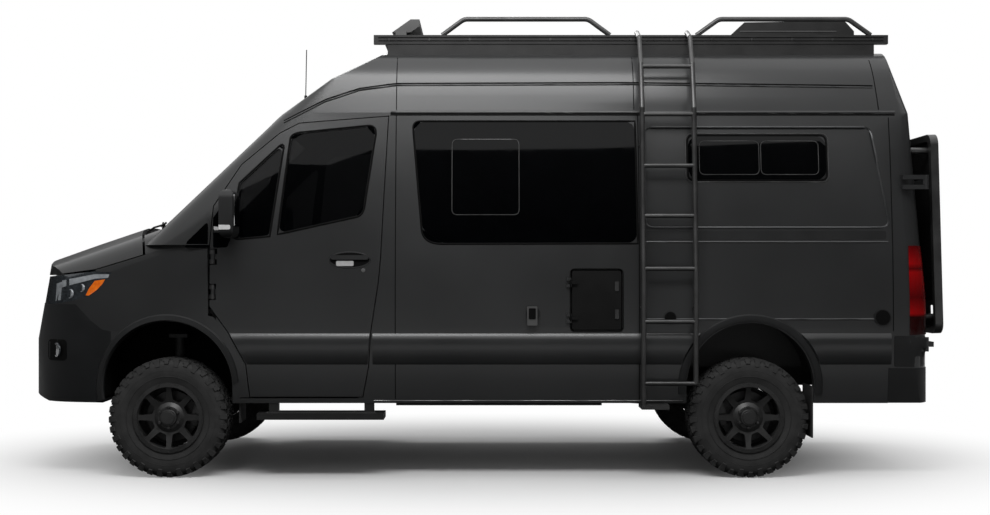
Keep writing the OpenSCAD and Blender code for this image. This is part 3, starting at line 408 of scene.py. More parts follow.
def oval(x, z, width, height, steps=28):
    return [(x + 0.5 * width * cos(t), z + 0.5 * height * sin(t)) for t in turns(steps)]


def side_name(side):
    return "left" if side == LEFT else "right"


# Places on the body's own surface, found by rays
def skin(*names):
    verts, faces = [], []
    for name in names:
        mesh = NODES[name].data
        base = len(verts)
        verts += [NODES[name].matrix_world @ v.co for v in mesh.vertices]
        faces += [[base + i for i in p.vertices] for p in mesh.polygons]
    return BVHTree.FromPolygons(verts, faces)


def from_front(tree, y, z):
    return tree.ray_cast(Vector((-BEYOND, y, z)), Vector((1, 0, 0)))[:2]


def from_rear(tree, y, z):
    return tree.ray_cast(Vector((BEYOND, y, z)), Vector((-1, 0, 0)))[:2]


def from_above(tree, x, y):
    return tree.ray_cast(Vector((x, y, BEYOND)), Vector((0, 0, -1)))[:2]


def flank(tree, side, x, z, miss):
    """Y of a side's surface at X and Z, or miss where there is none."""
    hit = tree.ray_cast(Vector((x, side * BESIDE, z)), Vector((0, -side, 0)))[0]
    return hit.y if hit else miss


def on_flank(side, x, z):
    """The point of the body's side at X from the front axle and Z."""
    return Vector((X_FA + x, flank(TREES[side], side, X_FA + x, z, side * HALF_W), z))


def thicken(bm, side, depth):
    """Gives a sheet on the side of the body a thickness, toward the inside."""
    made = bmesh.ops.extrude_face_region(bm, geom=bm.faces[:])
    for v in made["geom"]:
        if isinstance(v, bmesh.types.BMVert):
            v.co.y -= side * depth


def side_patch(name, outline, side, body, finish, lift, depth, step=0.06, flat=False, tree=None):
    """A plate laid on the side of the body, or on tree: an outline of X from the front axle and Z."""
    tree = tree or TREES[side]
    bm = bmesh.new()
    bm.faces.new([bm.verts.new((X_FA + x, 0, z)) for x, z in outline])
    for axis, normal in ((0, Vector((1, 0, 0))), (2, Vector((0, 0, 1)))):
        low = min(v.co[axis] for v in bm.verts)
        high = max(v.co[axis] for v in bm.verts)
        for k in range(1, int((high - low) / step) + 1):
            geom = bm.verts[:] + bm.edges[:] + bm.faces[:]
            bmesh.ops.bisect_plane(bm, geom=geom, plane_co=normal * (low + k * step), plane_no=normal)
    known = side * HALF_W
    for v in bm.verts:
        known = flank(tree, side, v.co.x, v.co.z, known)
        v.co.y = known + side * lift
    if flat:
        outermost = max(side * v.co.y for v in bm.verts)
        for v in bm.verts:
            v.co.y = side * outermost
    thicken(bm, side, depth)
    add(name, bm, body, finish)


def side_path(points, side, lift, closed):
    """Points along a line on the side of the body, close enough together to follow it."""
    step = 0.04
    path, known = [], side * HALF_W
    for (x0, z0), (x1, z1) in zip(points, points[1:] + (points[:1] if closed else [])):
        n = max(1, int(hypot(x1 - x0, z1 - z0) / step))
        for k in range(n):
            x, z = X_FA + x0 + (x1 - x0) * k / n, z0 + (z1 - z0) * k / n
            known = flank(TREES[side], side, x, z, known)
            path.append((x, known + side * lift, z))
    if not closed:
        x, z = X_FA + points[-1][0], points[-1][1]
        path.append((x, flank(TREES[side], side, x, z, known) + side * lift, z))
    return path


def side_lines(name, lines, side, body, finish, radius, lift, closed=False):
    """Round beads along lines on the side of the body."""
    bm = bmesh.new()
    for line in lines:
        tube(bm, side_path(line, side, lift, closed), radius, 6, closed)
    add(name, bm, body, finish, sharp=60)


# Stage, light and camera
# Studio lamps: name, place, the point they face, length, width and watts
STUDIO_LAMPS = [("overhead", (0.2, -0.4, 6.2), (0.2, -0.4, 0.0), 9.0, 5.0, 120),
                ("left_box", (-0.3, -4.2, 5.3), (-0.3, -0.9, 2.4), 4.2, 1.3, 190),
                ("right_box", (-0.3, 4.2, 5.3), (-0.3, 0.9, 2.4), 4.2, 1.3, 90)]


def make_world():
    """White where it is seen, dimmer where it lights the van."""
    world = bpy.data.worlds.new("studio")
    bpy.context.scene.world = world
    world.use_nodes = True
    tree = world.node_tree
    back = put(tree.nodes["Background"], {"Color": (1, 1, 1, 1)})
    strength = map_range(tree, seen_rays(tree), {"To Min": 0.38, "To Max": 1.0})
    tree.links.new(strength, back.inputs["Strength"])


def make_camera():
    cam = bpy.data.cameras.new("camera")
    cam.sensor_width = SENSOR_MM
    cam.lens = SENSOR_MM * FOCAL_PX / PHOTO_W
    cam.shift_x = (CENTRE_PX[0] - AIM_PX[0]) / PHOTO_W
    cam.shift_y = (AIM_PX[1] - CENTRE_PX[1]) / PHOTO_W
    camera = show("camera", cam)
    camera.location = CAMERA_AT
    camera.rotation_euler = (radians(90), 0, 0)
    bpy.context.scene.camera = camera


def make_stage():
    bpy.context.scene.view_settings.view_transform = "Standard"
    make_world()
    bm = bmesh.new()
    bmesh.ops.create_grid(bm, x_segments=1, y_segments=1, size=60)
    ground = show("floor", mesh_from("floor", bm))
    ground.data.materials.append(floor_material())
    for name, at, aim, length, width, watts in STUDIO_LAMPS:
        light = bpy.data.lights.new(name, "AREA")
        light.shape, light.size, light.size_y, light.energy = "RECTANGLE", length, width, watts
        lamp = show(name, light)
        lamp.location = at
        lamp.rotation_euler = (Vector(aim) - Vector(at)).to_track_quat("-Z", "Y").to_euler()
    dark_wall()
    dark_carpet()
    make_camera()


def floor_material():
    """Pale floor that keeps the shadow near the van and runs out into the white background."""
    m, tree, p = new_material("studio_floor")
    put(p, {"Roughness": 0.7, "Specular IOR Level": 0.1})
    pale = ramp(tree, noise(tree, 0.4), [(0.3, grey(0.86)), (0.7, grey(0.9))])
    tree.links.new(pale, p.inputs["Base Color"])
    place = tree.nodes.new("ShaderNodeTexCoord")
    stretch = put(tree.nodes.new("ShaderNodeMapping"), {"Scale": (0.26, 0.42, 1)})
    tree.links.new(place.outputs["Object"], stretch.inputs["Vector"])
    far = tree.nodes.new("ShaderNodeVectorMath")
    far.operation = "LENGTH"
    tree.links.new(stretch.outputs["Vector"], far.inputs[0])
    fade = map_range(tree, far.outputs["Value"], {"From Min": 0.45, "From Max": 1.15}, "SMOOTHSTEP")
    glow = put(tree.nodes.new("ShaderNodeEmission"), {"Color": (1, 1, 1, 1)})
    share = combine(tree, "MULTIPLY", fade, seen_rays(tree))
    mix_surface(tree, share, p.outputs["BSDF"], glow.outputs["Emission"])
    return m


def unseen(name, bm, stops, height):
    """A dark sheet hidden from the camera; its grey goes by height, and its back lets light through."""
    sheet = show(name, mesh_from(name, bm))
    m, tree, p = new_material(name)
    tree.links.new(ramp(tree, by_height(tree, 0.0, height), stops), p.inputs["Base Color"])
    put(p, {"Specular IOR Level": 0.0})
    back = tree.nodes.new("ShaderNodeNewGeometry")
    clear = tree.nodes.new("ShaderNodeBsdfTransparent")
    mix_surface(tree, back.outputs["Backfacing"], p.outputs["BSDF"], clear.outputs["BSDF"])
    sheet.data.materials.append(m)
    sheet.visible_camera = False
    sheet.visible_shadow = False
    sheet.visible_transmission = False
    return sheet


def dark_wall():
    """A dark ring round the studio, so that the flanks and the windows stay dark."""
    radius, height = 15.0, 7.2
    bm = bmesh.new()
    rings = []
    for z in (height, 0.02):
        rings.append([bm.verts.new((radius * cos(t), radius * sin(t), z)) for t in turns(48)])
    join_rings(bm, rings, capped=False)
    wall = unseen("dark_wall", bm, [(0.0, grey(0.02)), (0.55, grey(0.04)), (1.0, grey(0.16))], height)
    wall.visible_diffuse = False
    return wall


def dark_carpet():
    """A dark sheet just over the floor, so that the lower body doesn't mirror the pale floor."""
    bm = bmesh.new()
    corners = [(-5.0, -4.5), (5.0, -4.5), (5.0, 4.5), (-5.0, 4.5)]
    bm.faces.new([bm.verts.new((x, y, 0.004)) for x, y in corners])
    return unseen("dark_carpet", bm, [(0.0, grey(0.05)), (1.0, grey(0.07))], 0.01)


# Wheels
TREAD_COUNT = 36
PITCH = 2 * pi / TREAD_COUNT
# Shift of each half of the tread, in pitches
HALF_SHIFT = {LEFT: 0.0, RIGHT: 0.25}
# Half of the carcass: radius and distance from the middle
CARCASS = [(0.2085, 0.100), (0.2235, 0.1005), (0.250, 0.114), (0.290, 0.1175), (0.330, 0.116), (0.350, 0.110),
           (0.3635, 0.096), (0.3665, 0.080), (0.3672, 0.040), (0.3674, 0.0)]
# Rows of tread blocks: distance from the middle, width, length as a share of the pitch, shift in pitches,
# slant, and how far the row lies below the crown
TREAD_ROWS = [(0.019, 0.032, 0.74, 0.0, 0.28, 0.0), (0.056, 0.034, 0.70, 0.5, -0.22, 0.0),
              (0.094, 0.036, 0.62, 0.15, 0.10, 0.0035)]
# Nuts and rim bolts: count, shift in steps, radius of their circle, place outward, own radius and height
FASTENERS = [(6, 0.5, 0.066, 0.080, 0.0105, 0.022), (24, 0.0, 0.2145, 0.1115, 0.0042, 0.004)]
WHEELS = [(end, x, side) for end, x in (("front", X_FA), ("rear", X_RA)) for side in (LEFT, RIGHT)]


def tread_point(r, angle, y):
    return Vector((r * cos(angle), y, r * sin(angle)))


def prism(bm, low, high):
    """A closed block from two outlines of as many points, low and high."""
    join_rings(bm, [[bm.verts.new(p) for p in outline] for outline in (low, high)])


def tread_row(bm, half, at, width, share, shift, slant, drop):
    """A row of slanted blocks, each smaller at its top than at its root."""
    root, top = 0.3655 - drop, WHEEL_R - 0.0004 - drop
    long, wide = 0.5 * share * PITCH, width / 2
    corners = [(-long, -wide), (long, -wide), (long, wide), (-long, wide)]

    def outline(middle, r, shrink):
        angles = [middle + u * shrink + slant * v / WHEEL_R for u, v in corners]
        places = [half * (at + v * shrink) for u, v in corners]
        return [tread_point(r, a, y) for a, y in zip(angles, places)]

    for k in range(TREAD_COUNT):
        middle = (k + shift + HALF_SHIFT[half]) * PITCH
        prism(bm, outline(middle, root, 1.0), outline(middle, top, 0.86))


def shoulder_lugs(bm, half):
    """Lugs that run down the sidewall, long and short in turn."""
    for k in range(TREAD_COUNT):
        foot, share = (0.338, 0.26) if k % 2 else (0.322, 0.31)
        middle = (k + 0.15 + HALF_SHIFT[half]) * PITCH
        # Corners: radius, share of half the lug's width, distance from the tyre's middle
        low = [(0.360, -1.0, 0.100), (0.360, 1.0, 0.100), (foot, 0.8, 0.1155), (foot, -0.8, 0.1155)]
        high = [(0.3735, -0.9, 0.1085), (0.3735, 0.9, 0.1085), (foot + 0.006, 0.7, 0.1195),
                (foot + 0.006, -0.7, 0.1195)]
        prism(bm, *[[tread_point(r, middle + u * share * PITCH, half * y) for r, u, y in corners]
                    for corners in (low, high)])


def tyre_mesh():
    """Carcass, tread blocks in rows, shoulder lugs and two fine lines on each sidewall, axis along Y."""
    bm = bmesh.new()
    profile = CARCASS + [(r, -y) for r, y in CARCASS[-2::-1]] + CARCASS[:1]
    rings = [[bm.verts.new(tread_point(r, t, y)) for t in turns(96)] for r, y in profile]
    join_rings(bm, rings, capped=False)
    for half in (LEFT, RIGHT):
        for row in TREAD_ROWS:
            tread_row(bm, half, *row)
        shoulder_lugs(bm, half)
        for r in (0.262, 0.300):
            tube(bm, [tread_point(r, t, half * 0.1160) for t in turns(96)], 0.0022, 6, True)
    return smooth_mesh("tyre_tread", bm, RUBBER, 30)


def make_wheels():
    """Tyres with tread, nuts and rim bolts, and the brakes behind the rims."""
    tread = tyre_mesh()
    for end, x, side in WHEELS:
        hand = side_name(side)
        body = f"{end}_{hand}_wheel"
        carrier = f"{hand}_knuckle" if end == "front" else "van"
        hub, out = Vector((x, side * WHEEL_Y, WHEEL_R)), Vector((0, side, 0))
        tyre = show(f"tyre_tread_{end}_{hand}", tread)
        tyre.location = hub
        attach(tyre, body)
        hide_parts(f"tyre_{end}_{hand}")
        bm = bmesh.new()
        disc(bm, hub + out * 0.083, out, 0.052, 0.020, 28)
        disc(bm, hub + out * 0.103, out, 0.040, 0.006, 28)
        for count, shift, circle, outward, radius, height in FASTENERS:
            for k in range(count):
                at = hub + tread_point(circle, 2 * pi * (k + shift) / count, 0)
                disc(bm, at + out * outward, out, radius, height, 6)
        add(f"hub_trim_{end}_{hand}", bm, body, RIM)
        bm = bmesh.new()
        disc(bm, hub - out * 0.016, out, 0.165, 0.012, 48, 0.082)
        disc(bm, hub - out * 0.016, out, 0.092, 0.016, 36, 0.040)
        add(f"brake_disc_{end}_{hand}", bm, body, DISC)
        bm = bmesh.new()
        disc(bm, hub - out * 0.052, out, 0.192, 0.004, 48, 0.060)
        add(f"dust_shield_{end}_{hand}", bm, carrier, STEEL)
        bm = bmesh.new()
        back = 1 if end == "front" else -1
        turn = Matrix.Rotation(radians(12 * back), 3, "Y")
        at = hub + Vector((0.150 * back, 0, 0.012)) - out * 0.022
        block(bm, at, (0.058, 0.052, 0.150), 0.010, turn)
        add(f"caliper_{end}_{hand}", bm, carrier, CAST)


# Lines and plates on the body, as X from the front axle and Z in metres; a box is two X and two Z
ARCH_Z = 0.580
REAR_ARCH = X_RA - X_FA
# Inner and outer radius of the flares
FLARE = (0.406, 0.455)
# Foot and top of the band
BAND = (0.719, 0.915)
# Profile of the band: lift off the body and share of its height
BAND_CROWN = [(0.000, 1.0), (0.010, 0.93), (0.017, 0.80), (0.020, 0.62), (0.017, 0.35), (0.008, 0.06),
              (0.000, 0.0)]
DOOR_PANE = [(0.703, 1.545), (0.772, 2.140), (0.836, 2.178), (1.253, 2.220), (1.300, 2.167), (1.234, 1.716),
             (1.190, 1.653)]
QUARTER_PANE = [(0.421, 1.545), (0.455, 1.514), (0.640, 1.530), (0.718, 2.078), (0.700, 2.090),
                (0.621, 2.016), (0.455, 1.857)]
SIDE_PANE = [(1.550, 2.205), (1.590, 2.250), (2.944, 2.250), (2.952, 1.485), (1.731, 1.482), (1.607, 1.567)]
REAR_PANE = (3.287, 4.154, 1.885, 2.159)
SLIDERS = [(1.791, 2.214, 1.659, 2.139), (3.354, 3.731, 1.914, 2.128), (3.743, 4.107, 1.914, 2.128)]
SLIDE = (1.440, 2.985, 0.560, 2.275)
PRESSED = rounded([(3.010, 2.218), (4.440, 2.218), (4.549, 1.580), (3.010, 1.580)], 0.05)
# Outline of the dark plate painted as the shade in the belt groove
BELT_GROOVE_SHADE = [(3.010, 1.506), (4.520, 1.506), (4.520, 1.558), (3.010, 1.558)]
REAR_CORNER = [(4.566, 0.705), (4.566, 0.900), (4.770, 0.900), (4.770, 0.705)]
INLET = (2.262, 2.326, 0.965, 1.085)
INLET_FLAP = (INLET[0] + 0.010, INLET[1] - 0.010, INLET[2] + 0.040, INLET[3] - 0.012)
# Round ports: X, Z and radius
PORTS = [(3.160, 1.015, 0.040), (4.490, 1.015, 0.054)]
HATCH = (2.539, 2.860, 0.931, 1.314)
LATCH_Z = (1.035, 1.210)
AMBER_CELL = [(-0.536, 1.150), (-0.514, 1.197), (-0.479, 1.243), (-0.412, 1.252), (-0.424, 1.226),
              (-0.462, 1.185), (-0.512, 1.150)]
LAMP_FRONT = [(-0.755, 1.112), (-0.752, 1.225), (-0.705, 1.236), (-0.712, 1.120)]
LAMP_TOP = [(-0.705, 1.200), (-0.705, 1.244), (-0.480, 1.285), (-0.385, 1.284), (-0.392, 1.262),
            (-0.480, 1.256)]
# Round reflectors of the headlamp: X, Z and radius
LAMP_EYES = [(-0.640, 1.160, 0.030), (-0.565, 1.196, 0.026)]
FOG = (-0.800, -0.655, 0.735, 0.870)
# Dark sail in front of the door window: the piece on the wing and the piece on the door
SAIL_WING = [(0.112, 1.452), (0.128, 1.492), (0.258, 1.618), (0.258, 1.449)]
SAIL_DOOR = [(0.292, 1.450), (0.292, 1.640), (0.345, 1.715), (0.398, 1.765), (0.398, 1.500), (0.380, 1.456)]
# Height of the seal under the hood
SEAL_Z = 1.236
HINGE_COVER = [(0.246, 0.975), (0.328, 0.975), (0.296, 1.018), (0.257, 1.026), (0.257, 1.076), (0.246, 1.076)]
ROOF_CREASE = [(0.72, 2.262), (0.98, 2.395), (1.20, 2.470), (1.436, 2.502), (2.90, 2.508), (4.47, 2.487)]
HANDLE = (1.150, 1.375)
# Upright seams of both sides, and two more on the left
UPRIGHTS = [[(4.559, 0.93), (4.559, 2.28)], [(1.436, 2.330), (1.436, 2.680)],
            [(2.945, 2.330), (2.945, 2.680)], [(4.500, 2.330), (4.470, 2.660)]]
LEFT_UPRIGHTS = [[(1.436, 0.50), (1.436, 2.295)], [(2.968, 0.50), (2.968, 2.295)]]
# Beads along both sides: name, lines, finish, radius and lift off the body
BEADS = [
    # Painted highlights along the flank's belt and character lines
    ("belt_lines", [[(3.000, z), (4.530, z)] for z in (1.488, 1.004)], HILITE, 0.006, -0.001),
    # A near-black bead painted as the shade along the roof crease
    ("roof_crease", [ROOF_CREASE], DARK_SEAM_AND_SHADE, 0.0045, -0.001),
    ("roof_crease_light", [[(x, z - 0.012) for x, z in ROOF_CREASE]], PAINT, 0.007, -0.001),
    ("gutter", [[(1.400, 2.312), (4.600, 2.312)]], PAINT, 0.010, 0.001),
    ("gutter_shadow", [[(1.400, 2.296), (4.600, 2.296)]], DARK_SEAM_AND_SHADE, 0.004, 0.0),
    # Painted highlight along the sill's lower edge
    ("sill_edge", [[(1.300, 0.490), (3.240, 0.490)]], EDGE, 0.004, 0.001),
]
SIDE_NODES = {LEFT: ("side_left", "hatch_door", "door_left", "door_left_glass"),
              RIGHT: ("side_right", "sliding_door", "door_right", "door_right_glass")}
SHARED_NODES = ("wings", "side_glass", "rear_windows", "cab_frame", "roof", "front_bumper", "rear_bumper",
                "headlamps", "tail_lamps", "hood")
TREES = {side: skin(*names, *SHARED_NODES) for side, names in SIDE_NODES.items()}


def grown(points, by):
    """An outline set outward by a distance."""
    pairs = zip(points, points[1:] + points[:1])
    sign = 1 if sum(a[0] * b[1] - b[0] * a[1] for a, b in pairs) > 0 else -1
    out = []
    for k, p in enumerate(points):
        p, a, b = Vector(p), Vector(points[k - 1]), Vector(points[(k + 1) % len(points)])
        u, v = (p - a).normalized(), (b - p).normalized()
        both = sign * (Vector((u.y, -u.x)) + Vector((v.y, -v.x)))
        out.append(p + both * (2 * by / both.length_squared))
    return [(q.x, q.y) for q in out]


def bend_corners(points, longest):
    """An outline whose short slanted corners are turned into curves, and the slivers between the two."""
    out, slivers = [], []
    for k, p in enumerate(points):
        before, after, beyond = points[k - 1], points[(k + 1) % len(points)], points[(k + 2) % len(points)]
        if dist(p, after) > longest:
            if dist(before, p) > longest:
                out.append(p)
            continue
        u, v = Vector(p) - Vector(before), Vector(after) - Vector(beyond)
        gap = Vector(after) - Vector(p)
        t = (gap.x * v.y - gap.y * v.x) / (u.x * v.y - u.y * v.x)
        tip = Vector(p) + u * t
        bend = curve(Vector(p), tip, Vector(after), 8)
        out += bend
        slivers.append(bend)
    return out, slivers


def arc(x, start, end, radius):
    """Points round a wheel arch between two angles in degrees."""
    steps = 40
    angles = [radians(start + (end - start) * k / steps) for k in range(steps + 1)]
    return [(x + radius * cos(a), ARCH_Z + radius * sin(a)) for a in angles]


def side_rows(name, rows, side, body, finish, depth):
    """A plate on the side of the body from rows of points, each row with a lift of its own."""
    bm = bmesh.new()
    lines, known = [], side * HALF_W
    for lift, points in rows:
        line = []
        for x, z in points:
            known = flank(TREES[side], side, X_FA + x, z, known)
            line.append(bm.verts.new((X_FA + x, known + side * lift, z)))
        lines.append(line)
    for a, b in zip(lines, lines[1:]):
        for i in range(len(a) - 1):
            bm.faces.new((a[i], a[i + 1], b[i + 1], b[i]))
    thicken(bm, side, depth)
    add(name, bm, body, finish)


def mouldings(side, hand):
    """Crowned bands low on the flank and flares round the wheel arches."""
    low, high = BAND
    reach = FLARE[1] + 0.004
    cuts = [1.294]
    if side == RIGHT:
        cuts += [x + gap for x in SLIDE[:2] for gap in (-0.006, 0.006)]

    def slanted(x, slope):
        return lambda z: x + slope * (high - z)

    def bow(turn):
        return lambda z: REAR_ARCH + turn * sqrt(reach * reach - (z - ARCH_Z) ** 2)

    bands = [(f"door_moulding_{hand}", f"{hand}_front_door", slanted(0.399, 0.56), slanted(1.274, -0.06))]
    ends = [slanted(x, 0) for x in cuts] + [bow(-1), bow(1), slanted(4.545, 0)]
    for k, pair in enumerate(zip(ends[0::2], ends[1::2])):
        bands.append((f"side_moulding_{hand}_{k + 1}", "van", *pair))
    for name, body, start, end in bands:
        count = max(4, int((end(low) - start(low)) / 0.06))
        rows = []
        for lift, share in BAND_CROWN:
            z = low + (high - low) * share
            rows.append((lift, [(start(z) + (end(z) - start(z)) * k / count, z) for k in range(count + 1)]))
        side_rows(name, rows, side, body, PAINT, 0.014)
    inner, outer = FLARE
    for name, x, start, end in (("front", 0.0, 4, 192), ("rear", REAR_ARCH, -6, 186)):
        rows = [(0.001, outer), (0.011, outer - 0.008), (0.015, inner + 0.012), (0.011, inner)]
        rows = [(lift, arc(x, start, end, r)) for lift, r in rows]
        side_rows(f"arch_flare_{name}_{hand}", rows, side, "van", CLADDING_AND_SHADE, 0.02)


def windows(side, hand):
    """Window gaskets, round corners of the panes and frames of the sliding panes."""
    door = f"{hand}_front_door"
    front, front_corners = bend_corners(DOOR_PANE, 0.08)
    quarter, quarter_corners = bend_corners(QUARTER_PANE, 0.05)
    middle, middle_corners = bend_corners(SIDE_PANE, 0.16)
    gaskets = [grown(front, 0.007), grown(quarter, 0.007)]
    side_lines(f"door_gasket_{hand}", gaskets, side, door, DARK_SEAM_AND_SHADE, 0.007, -0.001, True)
    gaskets = [grown(middle, 0.006), box_outline(*wider(REAR_PANE, 0.006), 0.04)]
    side_lines(f"side_gasket_{hand}", gaskets, side, "van", DARK_SEAM_AND_SHADE, 0.007, -0.001, True)
    panes = (("door", door, front_corners + quarter_corners), ("side", "van", middle_corners))
    for pane, body, corners in panes:
        for k, sliver in enumerate(corners):
            name = f"{pane}_pane_corner_{hand}_{k + 1}"
            side_patch(name, sliver, side, body, PRIVACY, 0.001, 0.012, flat=True)
    frames = [box_outline(*s, 0.035) for s in SLIDERS]
    side_lines(f"slider_frames_{hand}", frames, side, "van", FRAME_GREY, 0.0028, 0.001, True)
    rim = box_outline(*wider(REAR_PANE, 0.018), 0.05)
    side_lines(f"rear_pane_rim_{hand}", [rim], side, "van", FRAME_GREY, 0.004, 0.0005, True)


def seams(side, hand):
    """Creases, grooves and seams of the panels and the gutter along the roof; the groove, the roof crease and
    the gutter's underside get painted shade, the belt lines, the pressed panel's edge and the sill painted
    highlights.
    """
    groove, corner = rounded(BELT_GROOVE_SHADE, 0.012, 3), rounded(REAR_CORNER, 0.012, 3)
    # A dark plate painted as the shade in the belt groove
    side_patch(f"belt_groove_shade_{hand}", groove, side, "van", CLADDING_AND_SHADE, 0.0012, 0.006)
    side_patch(f"rear_corner_{hand}", corner, side, "van", CLADDING_AND_SHADE, 0.003, 0.008)
    for name, lines, finish, radius, lift in BEADS:
        side_lines(f"{name}_{hand}", lines, side, "van", finish, radius, lift)
    # Painted highlight round the pressed panel
    side_lines(f"pressed_edge_highlight_{hand}", [PRESSED], side, "van", HILITE, 0.007, -0.001, True)
    uprights = UPRIGHTS + (LEFT_UPRIGHTS if side == LEFT else [])
    side_lines(f"panel_seams_{hand}", uprights, side, "van", DARK_SEAM_AND_SHADE, 0.0032, -0.0005)


def left_fittings():
    """Inlet, port caps and the service hatch's latches and gasket, on the left alone."""
    side_patch("inlet_plate", box_outline(*INLET, 0.008), LEFT, "van", DEFLECTOR, 0.034, 0.012)
    side_patch("inlet_flap", box_outline(*INLET_FLAP, 0.006), LEFT, "van", DARK_SEAM_AND_SHADE, 0.037, 0.006)
    for k, (x, z, r) in enumerate(PORTS):
        cap = oval(x, z, 1.7 * r, 1.7 * r, 32)
        side_patch(f"port_cap_{k + 1}", cap, LEFT, "van", DARK_SEAM_AND_SHADE, 0.013, 0.010)
    for k, z in enumerate(LATCH_Z):
        latch = box_outline(HATCH[1] - 0.046, HATCH[1] - 0.022, z - 0.03, z + 0.03, 0.006)
        side_patch(f"hatch_latch_{k + 1}", latch, LEFT, "service_hatch", SATIN, 0.006, 0.008)
    gasket = box_outline(*wider(HATCH, 0.005), 0.03)
    side_lines("hatch_gasket", [gasket], LEFT, "van", DARK_SEAM_AND_SHADE, 0.004, 0.0, True)


def right_fittings():
    """Seam and track of the sliding door, on the right alone."""
    side_lines("sliding_door_seam", [box_outline(*SLIDE, 0.06)], RIGHT, "van", DARK_SEAM_AND_SHADE, 0.0035, 0.0, True)
    side_lines("sliding_door_track", [[(3.00, 1.300), (4.45, 1.300)]], RIGHT, "van", DARK_SEAM_AND_SHADE, 0.007, 0.0)


def handles(side, hand):
    """Door handles in their cups, each with a pale flap painted as the cup's highlight, and the front door's
    lock.
    """
    door = f"{hand}_front_door"
    spots = [(f"door_{hand}", *HANDLE, door)]
    if side == RIGHT:
        spots.append(("sliding_door", 1.640, 1.340, "van"))
    for name, x, z, body in spots:
        bar = box_outline(x - 0.118, x + 0.118, z + 0.002, z + 0.030, 0.012)
        # The pale flap is a painted highlight in the cup
        flap = box_outline(x - 0.085, x + 0.025, z - 0.038, z - 0.006, 0.010)
        side_patch(f"{name}_handle_cup", oval(x, z, 0.250, 0.092), side, body, DARK_SEAM_AND_SHADE, 0.0015, 0.008)
        side_lines(f"{name}_handle_rim", [oval(x, z, 0.256, 0.098)], side, body, PAINT, 0.004, 0.0005, True)
        side_patch(f"{name}_handle_bar", bar, side, body, PAINT, 0.014, 0.010)
        side_patch(f"{name}_handle_highlight_flap", flap, side, body, PALE_FLAP_HIGHLIGHT, 0.006, 0.006)
    lock, out = on_flank(side, HANDLE[0] + 0.085, HANDLE[1] - 0.065), Vector((0, side, 0))
    bm = bmesh.new()
    disc(bm, lock - out * 0.002, out, 0.013, 0.005, 20)
    disc(bm, lock + out * 0.003, out, 0.008, 0.002, 16)
    add(f"door_{hand}_lock", bm, door, EDGE)


def lamps(side, hand):
    """Inside of the headlamp, its indicator and the fog lamp."""
    side_patch(f"indicator_cell_{hand}", AMBER_CELL, side, "van", AMBER, 0.004, 0.010, 0.02)
    side_patch(f"lamp_front_{hand}", LAMP_FRONT, side, "van", LAMP_SILVER, 0.0012, 0.006, 0.03)
    side_patch(f"lamp_top_{hand}", LAMP_TOP, side, "van", LAMP_SILVER, 0.0012, 0.006, 0.03)
    bm = bmesh.new()
    aim = Vector((-0.70, side * 0.71, 0.1)).normalized()
    for x, z, r in LAMP_EYES:
        at = on_flank(side, x, z)
        disc(bm, at - aim * 0.006, aim, r, 0.010, 28, r - 0.006)
        disc(bm, at - aim * 0.010, aim, r - 0.006, 0.009, 28)
    add(f"lamp_eyes_{hand}", bm, "van", LAMP_SILVER)
    side_patch(f"fog_recess_{hand}", box_outline(*FOG, 0.03), side, "van", DARK_SEAM_AND_SHADE, 0.0015, 0.010, 0.03)
    bm = bmesh.new()
    aim = Vector((-0.75, side * 0.66, 0)).normalized()
    at = on_flank(side, (FOG[0] + FOG[1]) / 2, (FOG[2] + FOG[3]) / 2)
    disc(bm, at - aim * 0.004, aim, 0.046, 0.010, 28, 0.036)
    disc(bm, at - aim * 0.006, aim, 0.036, 0.009, 28)
    add(f"fog_lens_{hand}", bm, "van", LAMP_DARK)


def sails(side, hand):
    """Dark sails in front of the door window and the cover of the door's hinge."""
    on_wing, on_door = rounded(SAIL_WING, 0.012, 3), rounded(SAIL_DOOR, 0.012, 3)
    side_patch(f"sail_wing_{hand}", on_wing, side, "van", PRIVACY, 0.001, 0.030, flat=True)
    side_patch(f"sail_door_{hand}", on_door, side, f"{hand}_front_door", PRIVACY, 0.001, 0.012, flat=True)
    side_patch(f"hinge_cover_{hand}", HINGE_COVER, side, "van", PAINT, 0.0, 0.004, flat=True)


def mirrors(side, hand):
    """A mirror's own lamp and its glass."""
    mirror, body = f"mirror_{hand}", f"{hand}_front_door"
    low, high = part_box(mirror)
    cell = box_outline(low.x - X_FA + 0.020, high.x - X_FA - 0.014, low.z + 0.050, low.z + 0.078, 0.010, 3)
    side_patch(f"{mirror}_lamp", cell, side, body, WHITE_LENS, 0.002, 0.006, 0.02, tree=skin(mirror))
    middle = (low.y if side == LEFT else high.y) - side * 0.118
    bm = bmesh.new()
    block(bm, (high.x + 0.001, middle, (low.z + high.z) / 2 + 0.020), (0.006, 0.150, 0.190), 0.002)
    add(f"{mirror}_glass", bm, body, CHROME)


